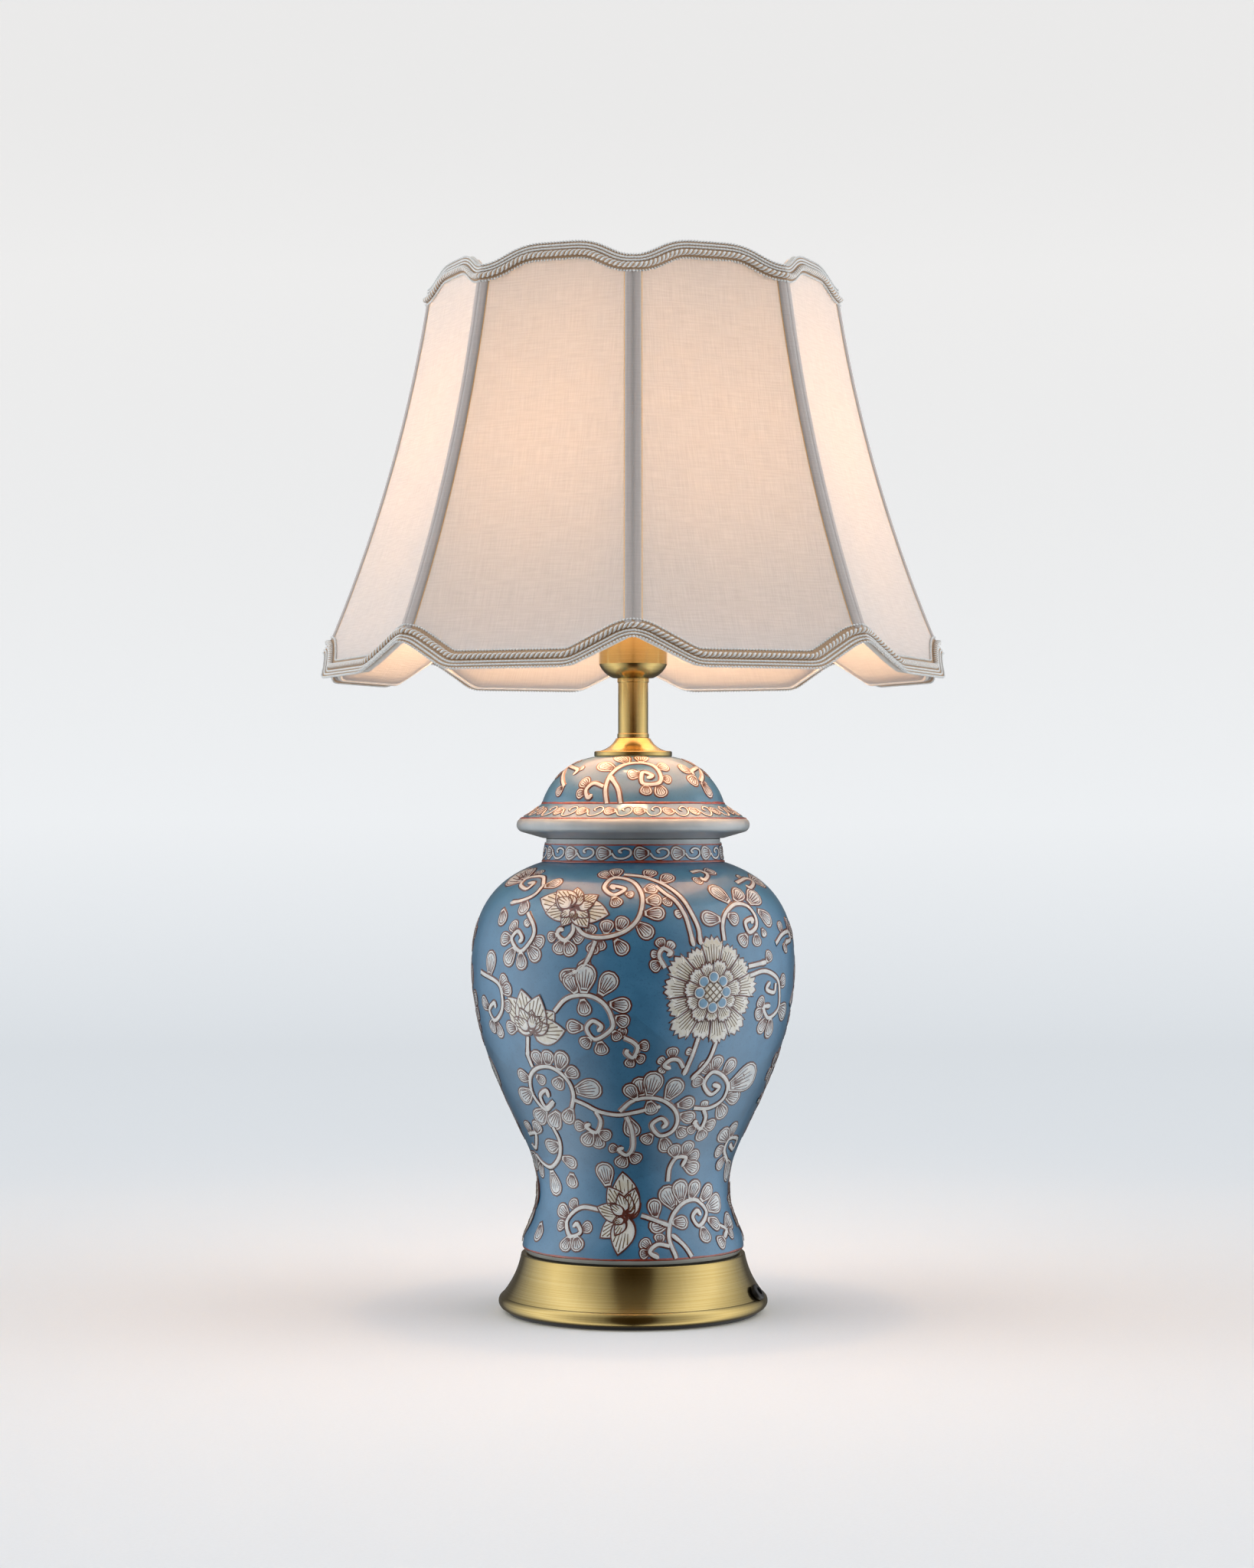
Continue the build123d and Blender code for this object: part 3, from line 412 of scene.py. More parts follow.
def brass_material(name, colour, dark, roughness):
    """Lathe-brushed brass: fine rings round the axis that draw the light out upright."""
    material, tree = new_material(name)
    place = object_place(tree)
    rings = noise(tree, stretched(tree, place, BRUSHED_SCALE), scale=1.0, detail=3.0)
    patina = noise(tree, place, scale=40.0, detail=4.0)
    colours = ramp(tree, rings, [(0.25, dark), (0.7, colour)])
    wear = ramp(tree, patina, [(0.4, grey(0)), (0.8, grey(0.35))])
    tangent = shader_node(tree, "Tangent", direction_type="RADIAL", axis="Z").outputs["Tangent"]
    set_inputs(tree, principled(tree), {
        "Base Color": mix_colour(tree, wear, colours, dark),
        "Metallic": 1.0,
        "Roughness": roughness,
        "Anisotropic": 0.8,
        "Anisotropic Rotation": 0.25,
        "Tangent": tangent,
        "Normal": bump(tree, rings, distance=0.00004, strength=0.4),
    })
    return material


def painted_metal(name, colour, dark, metallic, roughness):
    """Plated or painted metal with faint handling marks."""
    material, tree = new_material(name)
    marks = noise(tree, object_place(tree), scale=350.0, detail=4.0)
    set_inputs(tree, principled(tree), {
        "Base Color": ramp(tree, marks, [(0.3, dark), (0.65, colour)]),
        "Metallic": metallic,
        "Roughness": roughness,
        "Normal": bump(tree, marks, distance=0.00005, strength=0.3),
    })
    return material


def moulded_plastic(name, colour, dark, roughness):
    """Moulded plastic or rubber with a fine sparked grain."""
    material, tree = new_material(name)
    grain = noise(tree, object_place(tree), scale=2200.0, detail=2.0)
    set_inputs(tree, principled(tree), {
        "Base Color": ramp(tree, grain, [(0.3, dark), (0.7, colour)]),
        "Roughness": roughness,
        "Normal": bump(tree, grain, distance=0.00008, strength=0.4),
    })
    return material


GLAZE_BLUES = [
    (0.3, (0.039, 0.156, 0.290)),
    (0.5, (0.047, 0.180, 0.328)),
    (0.75, (0.060, 0.208, 0.371)),
]
GLAZE_SPECK = (0.028, 0.110, 0.208)
GLAZE_WHITES = [(0.3, (0.33, 0.38, 0.41)), (0.7, (0.44, 0.48, 0.50))]


def glaze_colour(tree, place):
    """Blue glaze with soft mottling and fine darker specks."""
    clouds = noise(tree, place, scale=70.0, detail=5.0, roughness=0.6)
    specks = noise(tree, place, scale=900.0, detail=2.0)
    blue = ramp(tree, clouds, GLAZE_BLUES)
    speckled = ramp(tree, specks, [(0.3, grey(0.5)), (0.42, grey(0))])
    return mix_colour(tree, speckled, blue, GLAZE_SPECK)


def glaze_material(name, low, high):
    """Glossy glaze, blue between two heights and bluish white outside them."""
    material, tree = new_material(name)
    place = object_place(tree)
    height = height_of(tree, place)
    white = ramp(tree, noise(tree, place, scale=60.0, detail=4.0), GLAZE_WHITES)
    above = calculate(tree, "GREATER_THAN", height, low * MM)
    below = calculate(tree, "LESS_THAN", height, high * MM)
    inside = calculate(tree, "MULTIPLY", above, below)
    ripple = noise(tree, place, scale=55.0, detail=2.0)
    set_inputs(tree, principled(tree), {
        "Base Color": mix_colour(tree, inside, white, glaze_colour(tree, place)),
        "Roughness": 0.3,
        "Coat Weight": 0.55,
        "Coat Roughness": 0.12,
        "Normal": bump(tree, ripple, distance=0.0012, strength=0.15),
    })
    return material


def enamel_material(name, colour, shade, scale=260.0):
    """Glossy brushed-on enamel with uneven tone."""
    material, tree = new_material(name)
    strokes = noise(tree, object_place(tree), scale=scale, detail=3.0)
    set_inputs(tree, principled(tree), {
        "Base Color": ramp(tree, strokes, [(0.32, shade), (0.62, colour)]),
        "Roughness": 0.22,
        "Coat Weight": 0.5,
        "Coat Roughness": 0.08,
        "Normal": bump(tree, strokes, distance=0.0002, strength=0.35),
    })
    return material


def lit_glass(name):
    """Frosted bulb glass that glows warm, most at its crown, and a little unevenly."""
    material, tree = new_material(name)
    place = object_place(tree)
    frosting = noise(tree, place, scale=90.0, detail=3.0)
    glow = ramp(tree, frosting, [(0.3, (1.0, 0.60, 0.29)), (0.7, (1.0, 0.66, 0.35))])
    low, high = span_of("bulb_glass")
    values = {"Value": height_of(tree, place), "From Min": low * MM, "From Max": high * MM}
    share = shader_node(tree, "MapRange", values).outputs["Result"]
    crown = ramp(tree, share, [(0.35, grey(0.4)), (0.8, grey(1))])
    set_inputs(tree, principled(tree), {
        "Base Color": glow,
        "Emission Color": mix_colour(tree, 1.0, glow, crown, "MULTIPLY"),
        "Emission Strength": 100.0,
        "Roughness": 0.3,
    })
    return material


linen = cloth_material(
    "linen", (0.90, 0.90, 0.91), (0.66, 0.58, 0.49), pass_share=0.32, weave_depth=0.16,
)
# Tape cloth: its face is the cloth's own tone, made darker and warmer as painted shade from the lamp's
# dim front.
tape_cloth = cloth_material(
    "tape_cloth", (0.61, 0.565, 0.55), (0.43, 0.33, 0.26), pass_share=0.1, weave_depth=0.14,
)
lining_cloth = cloth_material(
    "lining_cloth", (0.80, 0.80, 0.82), (0.78, 0.72, 0.66), pass_share=0.5, weave_depth=0.10,
)
# Painted light: an orange strip along each tape's edges stands for the glow that leaks through the
# seam.
seam_light_leak = yarn_material("seam_light_leak", (0.92, 0.60, 0.28), (0.78, 0.46, 0.18))
braid_yarn = yarn_material("braid_yarn", (0.92, 0.94, 0.95), (0.63, 0.66, 0.67))
# Painted shade: the warm brown of the braid's ground stands for the shade and glow seen in the gaps
# between its rows.
braid_gap_shade = yarn_material("braid_gap_shade", (0.56, 0.37, 0.22), (0.38, 0.23, 0.12))
brass = brass_material("brass", (0.46, 0.36, 0.16), (0.36, 0.255, 0.08), roughness=0.2)
contact_brass = painted_metal(
    "contact_brass", (0.70, 0.52, 0.24), (0.58, 0.41, 0.17), metallic=1.0, roughness=0.3,
)
steel = painted_metal("steel", (0.62, 0.62, 0.61), (0.48, 0.48, 0.47), metallic=1.0, roughness=0.35)
bulb_metal = painted_metal(
    "bulb_metal", (0.72, 0.72, 0.71), (0.58, 0.58, 0.57), metallic=1.0, roughness=0.28,
)
white_wire = painted_metal(
    "white_wire", (0.78, 0.77, 0.74), (0.70, 0.69, 0.66), metallic=0.0, roughness=0.4,
)
black_plastic = moulded_plastic(
    "black_plastic", (0.018, 0.018, 0.019), (0.008, 0.008, 0.009), roughness=0.42,
)
pad_rubber = moulded_plastic("pad_rubber", (0.03, 0.03, 0.03), (0.015, 0.015, 0.015), roughness=0.7)
lead_sheath = moulded_plastic("lead_sheath", (0.03, 0.03, 0.032), (0.018, 0.018, 0.02), roughness=0.5)
porcelain = enamel_material("porcelain", (0.80, 0.79, 0.76), (0.72, 0.71, 0.68))
jar_glaze = glaze_material("jar_glaze", FOOT_LINE, COLLAR_HIGH_LINE)
lid_glaze = glaze_material("lid_glaze", BRIM_LINE, cad_box[1][2] / MM)
lamp_glass = lit_glass("lamp_glass")

# Enamels of the painting, and the number of each in the painted pieces
enamels = [
    enamel_material("outline_enamel", (0.12, 0.028, 0.018), (0.07, 0.018, 0.013), scale=420.0),
    enamel_material("white_enamel", (0.66, 0.67, 0.66), (0.52, 0.55, 0.57)),
    enamel_material("leaf_enamel", (0.66, 0.69, 0.70), (0.46, 0.53, 0.58)),
    enamel_material("petal_enamel", (0.74, 0.75, 0.73), (0.60, 0.57, 0.47), scale=180.0),
    enamel_material("gold_enamel", (0.15, 0.085, 0.03), (0.09, 0.05, 0.018), scale=420.0),
    enamel_material("bead_enamel", (0.16, 0.33, 0.50), (0.11, 0.25, 0.40)),
    enamel_material("line_enamel", (0.33, 0.05, 0.03), (0.20, 0.03, 0.02), scale=300.0),
]
OUTLINE, WHITE, LEAF, PETAL, GOLD, BEAD, LINE = range(len(enamels))

NODE_MATERIALS = {
    brass: ("base_shell", "vase_cap", "neck_tube", "socket_cup"),
    contact_brass: ("terminal_screws", "screw_shell", "centre_contact", "lead_cores"),
    steel: ("gland_nut", "rod_washer_lower", "rod_nut_lower", "rod_nut_upper", "threaded_rod"),
    white_wire: ("fitter_ring", "fitter_arms", "top_wire", "bottom_wire")
    + tuple(f"rib_wire_{index + 1}" for index in range(PANEL_COUNT)),
    black_plastic: ("cord_gland", "holder_dome", "holder_skirt", "shade_ring", "bulb_insulator"),
    pad_rubber: ("foot_pad", "jar_gasket", "lid_gasket"),
    lead_sheath: ("inner_lead",),
    porcelain: ("holder_insert",),
    jar_glaze: ("jar",),
    lid_glaze: ("lid",),
    lamp_glass: ("bulb_glass",),
    bulb_metal: ("bulb_tip", "bulb_cap"),
}


def dress_nodes():
    """Gives every CAD node that isn't replaced its material."""
    for material, names in NODE_MATERIALS.items():
        for name in names:
            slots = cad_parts[name].data.materials
            slots.clear()
            slots.append(material)


# Shade: side profile from the frame, and wavy edges from the part's values

class Shade:
    """Sides of the shade: the distance of the cloth from the axis at each height."""

    def __init__(self):
        self.bottom, self.top = span_of("shade_panel_1")
        tree = tree_of("shade_panel_1")
        facing = outward(HALF_ANGLE)
        low = self.bottom + PROFILE_MARGIN
        span = self.top - self.bottom - 2 * PROFILE_MARGIN
        self.heights = []
        self.apothems = []
        for index in range(PROFILE_STEPS + 1):
            height = low + span * index / PROFILE_STEPS
            self.heights.append(height)
            self.apothems.append(reach_at(tree, facing, OUTSIDE_SHADE, height))

    def apothem(self, height):
        return interpolate(self.heights, self.apothems, height)

    def rib_reach(self, height):
        return self.apothem(height) * tan(radians(HALF_ANGLE))

    def point(self, azimuth, sideways, height, lift):
        """Point of the side that faces an azimuth, moved out from the cloth by a lift."""
        away = outward(azimuth) * (self.apothem(height) + lift)
        return away + across(azimuth) * sideways + UP * height

    def outside(self, point, lift):
        """The point, moved out from the axis where it is nearer to the cloth than the lift."""
        side = floor(degrees(atan2(point.x, -point.y)) / (2 * HALF_ANGLE))
        facing = outward((2 * side + 1) * HALF_ANGLE)
        scale = max(1, (self.apothem(point.z) + lift) / point.dot(facing))
        return Vector((point.x * scale, point.y * scale, point.z))


shade = Shade()
panel_azimuths = [HALF_ANGLE + 360 / PANEL_COUNT * index for index in range(PANEL_COUNT)]
rib_azimuths = [360 / PANEL_COUNT * index for index in range(PANEL_COUNT)]


class Edge:
    """Wavy edge of a panel from its middle to the rib, with its points and inward directions."""

    def __init__(self, corners, fillets, inward, smoothing):
        self.points = []
        self.normals = []
        self.inward = inward
        self.smoothing = smoothing
        start = corners[0]
        for index, fillet in enumerate(fillets):
            before, corner, after = (Vector(corners[index + shift]) for shift in range(3))
            first = (corner - before).normalized()
            second = (after - corner).normalized()
            turn = first.angle_signed(second)
            reach = fillet * tan(abs(turn) / 2)
            arc_start = corner - first * reach
            self.run(Vector(start), arc_start)
            steps = max(FEWEST_ARC_STEPS, round(abs(turn) * fillet / BRAID_STEP))
            side = Vector((-first.y, first.x)) * (-1 if turn > 0 else 1)
            centre = arc_start + side * fillet
            for step in range(steps + 1):
                arm = arc_start - centre
                arm.rotate(Matrix.Rotation(-turn * step / steps, 2))
                self.place(centre + arm, arm)
            start = self.points[-1]
        self.run(Vector(start), Vector(corners[-1]))

    def run(self, start, end):
        steps = max(1, round((end - start).length / BRAID_STEP))
        along = (end - start).normalized()
        for step in range(steps + 1):
            self.place(start.lerp(end, step / steps), Vector((-along.y, along.x)))

    def place(self, point, normal):
        if self.points and (Vector(self.points[-1]) - point).length < BRAID_STEP / 4:
            return
        normal = normal.normalized()
        if normal.y * self.inward < 0:
            normal = -normal
        self.points.append((point.x, point.y))
        self.normals.append((normal.x, normal.y))

    def height(self, sideways):
        return interpolate([x for x, _ in self.points], [y for _, y in self.points], abs(sideways))

    def cloth_height(self, share):
        """Height of the edge at a share of the way from the panel's middle to the rib."""
        height = self.points[0][1]
        for _ in range(EDGE_TRIALS):
            height = self.height(share * shade.rib_reach(height))
        return height

    def around(self, place, lift):
        """Closed line round the shade, a distance inside the edge and lifted off the cloth.
        Returns its points and the directions that face away from the cloth."""
        line = []
        facing = []
        for azimuth in panel_azimuths:
            half = list(zip(self.points, self.normals))
            mirrored = [((-x, y), (-nx, ny)) for (x, y), (nx, ny) in reversed(half)]
            for (x, y), (nx, ny) in mirrored + half[1:]:
                height = y + ny * place
                spread = shade.apothem(height) / shade.apothem(y)
                line.append(shade.point(azimuth, (x + nx * place) * spread, height, lift))
                slope = shade.apothem(height + 1) - shade.apothem(height - 1)
                facing.append((outward(azimuth) - UP * slope / 2).normalized())
        line = [shade.outside(point, lift) for point in smoothed(line, self.smoothing)]
        return line, [vector.normalized() for vector in smoothed(facing, self.smoothing)]


def smoothed(loop, reach):
    """Closed list of vectors, each the mean of its neighbours within a reach."""
    count = len(loop)
    window = range(-reach, reach + 1)
    means = []
    for index in range(count):
        near = (loop[(index + shift) % count] for shift in window)
        means.append(sum(near, Vector()) / len(window))
    return means


lower_peak = shade.bottom + LOWER_PEAK_RISE
upper_valley = shade.top - UPPER_VALLEY_DROP
lower_edge = Edge(
    [
        (0, shade.bottom),
        (LOWER_FLAT / 2, shade.bottom),
        (shade.rib_reach(lower_peak) - LOWER_PEAK_FLAT, lower_peak),
        (shade.rib_reach(lower_peak), lower_peak),
    ],
    (LOWER_FLAT_FILLET, LOWER_PEAK_FILLET),
    inward=1,
    smoothing=LOWER_SMOOTHING,
)
upper_edge = Edge(
    [
        (0, shade.top),
        (UPPER_FLAT / 2, shade.top),
        (shade.rib_reach(upper_valley) - UPPER_VALLEY_FLAT, upper_valley),
        (shade.rib_reach(upper_valley), upper_valley),
    ],
    (UPPER_FLAT_FILLET, UPPER_VALLEY_FILLET),
    inward=-1,
    smoothing=UPPER_SMOOTHING,
)


def cloth_rows(azimuth, lift):
    """Rows of points of one stretched panel, from its lower edge up, and their places on it."""
    columns = []
    for column in range(CLOTH_COLUMNS + 1):
        share = 2 * column / CLOTH_COLUMNS - 1
        low = lower_edge.cloth_height(share) + CLOTH_INSET
        high = upper_edge.cloth_height(share) - CLOTH_INSET
        heights = [low + (high - low) * row / CLOTH_ROWS for row in range(CLOTH_ROWS + 1)]
        columns.append([(share, height) for height in heights])
    rows = []
    places = []
    for row in range(CLOTH_ROWS + 1):
        cells = [column[row] for column in columns]
        line = [
            (share * (shade.apothem(height) + lift) * tan(radians(HALF_ANGLE)), height)
            for share, height in cells
        ]
        rows.append([shade.point(azimuth, sideways, height, lift) for sideways, height in line])
        places.append([(sideways + azimuth * CLOTH_SHIFT, height) for sideways, height in line])
    return rows, places


def path_length(line):
    return sum((b - a).length for a, b in zip(line, line[1:]))


def make_panels():
    """Stretched cloth of each side."""
    for index, azimuth in enumerate(panel_azimuths):
        rows, places = cloth_rows(azimuth, 0)
        mesh = Mesh()
        mesh.grid(rows, places=places)
        panel = mesh.finish(f"cloth_panel_{index + 1}", "shade", [linen], "shade_cloth")
        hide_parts(f"shade_panel_{index + 1}")


def tape_line(azimuth, height):
    """Points across the folded tape at a height: two faces, their edges and painted seam light beside
    them.
    """
    line = []
    for station in TAPE_STATIONS:
        side = 1 if station >= 0 else -1
        lift = SEAM_LIFT if abs(station) >= 1 else TAPE_LIFT
        lift -= TAPE_FOLD_ROUND * max(0, 1 - abs(station) / TAPE_FOLD_SHARE) ** 2
        reach = (shade.apothem(height) + lift) * tan(radians(HALF_ANGLE))
        sideways = side * (abs(station) * TAPE_HALF_WIDTH - reach)
        line.append(shade.point(azimuth + side * HALF_ANGLE, sideways, height, lift))
    return line


def make_tapes():
    """Folded tape over each rib, rounded at the fold, with its two edges turned down."""
    low = lower_edge.points[-1][1] + TAPE_END
    high = upper_edge.points[-1][1] - TAPE_END
    heights = [low + (high - low) * row / TAPE_ROWS for row in range(TAPE_ROWS + 1)]
    columns = len(TAPE_STATIONS) - 1
    # The outer columns are the orange strips of painted seam light.
    materials = [1] + [0] * (columns - 2) + [1]
    for index, azimuth in enumerate(rib_azimuths):
        rows = [tape_line(azimuth, height) for height in heights]
        across_tape = [station * TAPE_HALF_WIDTH + azimuth * CLOTH_SHIFT for station in TAPE_STATIONS]
        places = [[(sideways, height) for sideways in across_tape] for height in heights]
        mesh = Mesh()
        mesh.grid(rows, materials, places)
        tape = mesh.finish(f"tape_{index + 1}", "shade", [tape_cloth, seam_light_leak], "shade_tape")
        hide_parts(f"rib_tape_{index + 1}")


def ring_rows(lift):
    """Rows of points of all the sides together, right round the shade."""
    sides = [cloth_rows(azimuth, lift)[0] for azimuth in panel_azimuths]
    return [[point for side in sides for point in side[row][:-1]] for row in range(CLOTH_ROWS + 1)]


def make_lining():
    """Lining inside the wires in one piece, turned out at both edges to meet the cloth."""
    inner = ring_rows(-LINING_DEPTH)
    outer = ring_rows(-LINING_HEM)
    hem = UP * LINING_HEM
    rows = [[a.lerp(b, LINING_TURN) + hem for a, b in zip(outer[0], inner[0])]]
    rows.append([point + hem for point in inner[0]])
    rows += inner[1:-1]
    rows.append([point - hem for point in inner[-1]])
    rows.append([a.lerp(b, LINING_TURN) - hem for a, b in zip(outer[-1], inner[-1])])
    girth = 2 * PANEL_COUNT * shade.rib_reach(shade.bottom)
    column_width = girth / len(rows[0])
    places = [[(column * column_width, point.z) for column, point in enumerate(row)] for row in rows]
    mesh = Mesh()
    mesh.grid(rows, places=places, closed=True)
    lining = mesh.finish("cloth_lining", "shade", [lining_cloth], "lining_cloth")
    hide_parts("shade_lining")


# Braid

def direction_at(line, index):
    """Direction of a loop of points at one of them."""
    return (line[(index + 1) % len(line)] - line[index - 1]).normalized()


def tube(mesh, line, facing, radius_at, sides=6, material=0):
    """Closed tube along a loop of points. The radius follows the distance along it."""
    rows = []
    count = len(line)
    angles = round_angles(sides)
    distance = 0
    for index in range(count + 1):
        here = line[index % count]
        up = facing[index % count]
        beside = direction_at(line, index).cross(up).normalized()
        radius = radius_at(distance)
        rows.append([here + (up * sin(angle) + beside * cos(angle)) * radius for angle in angles])
        distance += (line[(index + 1) % count] - here).length
    mesh.grid(rows, material, closed=True)


def resampled(line, facing, step):
    """Points and directions of a loop at equal steps, refitted so that they close."""
    lengths = [0]
    for a, b in zip(line, line[1:] + line[:1]):
        lengths.append(lengths[-1] + (b - a).length)
    count = round(lengths[-1] / step)
    points = []
    directions = []
    segment = 0
    for index in range(count):
        distance = lengths[-1] * index / count
        while lengths[segment + 1] < distance:
            segment += 1
        share = (distance - lengths[segment]) / (lengths[segment + 1] - lengths[segment])
        after = (segment + 1) % len(line)
        points.append(line[segment].lerp(line[after], share))
        directions.append(facing[segment].lerp(facing[after], share).normalized())
    return points, directions


def add_rope(mesh, edge):
    """Twisted rope of thick pale and thin warm strands."""
    line, facing = edge.around(ROPE_PLACE, ROPE_LIFT)
    line, facing = resampled(line, facing, BRAID_STEP)
    turns = round(path_length(line + line[:1]) / ROPE_PITCH)
    for strand, (radius, yarn) in enumerate(ROPE_STRANDS):
        twisted = []
        for index, (point, up) in enumerate(zip(line, facing)):
            angle = 2 * pi * (turns * index / len(line) + strand / len(ROPE_STRANDS))
            beside = direction_at(line, index).cross(up)
            twisted.append(point + (up * sin(angle) + beside * cos(angle)) * ROPE_HELIX_RADIUS)
        tube(mesh, twisted, facing, lambda distance: radius, material=yarn)


def add_chain(mesh, edge, place):
    """Row of chain stitches."""
    line, facing = edge.around(place, CHAIN_RADIUS + CHAIN_GAP)
    line, facing = resampled(line, facing, CHAIN_PITCH / STITCH_STEPS)

    def stitch(distance):
        swell = abs(sin(pi * distance / CHAIN_PITCH))
        return CHAIN_RADIUS * (CHAIN_NARROW + (1 - CHAIN_NARROW) * swell)

    tube(mesh, line, facing, stitch, sides=5)


def add_picots(mesh, edge, place):
    """Row of small loops, each as a bead."""
    line, facing = edge.around(place, PICOT_RADIUS + PICOT_GAP)
    line, facing = resampled(line, facing, PICOT_PITCH)
    for index, (point, up) in enumerate(zip(line, facing)):
        along = direction_at(line, index)
        beside = along.cross(up)
        half_length = along * PICOT_RADIUS * PICOT_STRETCH
        add_bead(mesh, point, half_length, beside * PICOT_RADIUS, up * PICOT_RADIUS)


def add_bead(mesh, centre, along, beside, up, rings=4, sides=6):
    """Closed bead with the given half axes."""
    points = [centre + up]
    for ring in range(1, rings):
        polar = pi * ring / rings
        for angle in round_angles(sides):
            aside = along * cos(angle) + beside * sin(angle)
            points.append(centre + up * cos(polar) + aside * sin(polar))
    points.append(centre - up)
    last = len(points) - 1
    faces = []
    for side in range(sides):
        beyond = (side + 1) % sides
        faces.append((0, 1 + side, 1 + beyond))
        for ring in range(rings - 2):
            low = 1 + ring * sides
            faces.append((low + side, low + sides + side, low + sides + beyond, low + beyond))
        low = 1 + (rings - 2) * sides
        faces.append((low + side, last, low + beyond))
    mesh.add(points, faces)


def add_ground(mesh, edge):
    """Flat tape that carries the braid's rows, coloured as painted shade in the gaps between them."""
    places = (PICOT_PLACES[0], ROPE_PLACE, PICOT_PLACES[1])
    lines = [edge.around(place, BRAID_GROUND_LIFT)[0] for place in places]
    rows = [list(row) for row in zip(*lines)]
    mesh.grid(rows + rows[:1], material=1)


def make_braid(name, node, edge):
    """Trim of one edge: flat ground, rope, chains and loops."""
    mesh = Mesh()
    add_ground(mesh, edge)
    add_rope(mesh, edge)
    for place in CHAIN_PLACES:
        add_chain(mesh, edge, place)
    for place in PICOT_PLACES:
        add_picots(mesh, edge, place)
    braid = mesh.finish(name, "shade", [braid_yarn, braid_gap_shade], "shade_braid")
    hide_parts(node)


# Painted relief on the jar and lid

# Section across a painted vine: place from its middle, height over the glaze, enamel to the next place
VINE_SECTION = (
    (-2.1, -0.2, OUTLINE), (-1.95, 0.3, OUTLINE), (-1.05, 0.36, WHITE), (-0.5, 0.46, WHITE),
    (0.5, 0.46, WHITE), (1.05, 0.36, OUTLINE), (1.95, 0.3, OUTLINE), (2.1, -0.2, OUTLINE),
)
STROKE_STEP = 0.9
BUD_LENGTH = 1.6
BUD_BULGE = 0.25
BUD_POINT = 0.05                # share of a vine's width that is left at its very end
HATCH_HALF_WIDTH = 0.42
HATCH_LIFT = 0.07
HATCH_TAPER = 0.5
BLADE_MIDDLE = 0.58             # share of a leaf's length at which its rings close
SMALLEST_RING = 0.08
LAYER_STEP = 0.045              # between leaves that may overlap, which take turns in several layers
LAYER_COUNT = 6
LEAF_REACH = 1.1
LEAF_SHORTEST = 5.0
LEAF_WIDTH = 9.0
LEAF_SLIMMEST = 0.72
LEAF_STROKES = 5
SMALL_LEAF = 3.2
SMALL_LEAF_STROKES = 3

# Rings of a painted leaf or petal: distance inside its outline, height over the glaze, enamel inside it
LEAF_RINGS = (
    (-0.65, -0.2, OUTLINE), (-0.5, 0.18, OUTLINE), (0.3, 0.2, WHITE),
    (1.05, 0.21, OUTLINE), (1.65, 0.21, LEAF), (2.5, 0.22, LEAF),
)
SMALL_LEAF_RINGS = (
    (-0.65, -0.2, OUTLINE), (-0.5, 0.18, OUTLINE), (0.3, 0.2, WHITE), (1.0, 0.22, LEAF),
)
PETAL_RINGS = (
    (-0.6, -0.2, OUTLINE), (-0.45, 0.2, OUTLINE), (0.35, 0.21, WHITE),
    (1.2, 0.22, PETAL), (2.2, 0.23, PETAL),
)

# How the painted pieces are laid on the jar and lid
OUTSIDE_JAR = 300.0             # where the rays start that measure a profile
SEARCH_STEPS = 200              # trials from a pixel towards the piece's middle
SLOPE_REACH = 1.5
JAR_SKIN_MARGIN = 0.4
JAR_SKIN_STEP = 0.8
LID_SKIN_MARGIN = 0.3
LID_SKIN_STEP = 0.25
LID_SKIN_BELOW_BRIM = 6.0


def base_hatch(share):
    """Stroke from the base of a leaf or petal, in shares of its length and of its half-width."""
    start = 0.2
    end = 0.8 - 0.4 * abs(share)
    return (start, 0.8 * share), (0.6 * end, 1.2 * share), (end, 1.55 * share)


def tip_hatch(share):
    """Stroke from the tip of a pointed petal towards its heart."""
    start = 0.93 - 0.55 * abs(share)
    middle = 0.68 - 0.25 * abs(share)
    end = 0.42
    return (start, 1.7 * share), (middle, 1.5 * share), (end, 1.2 * share)


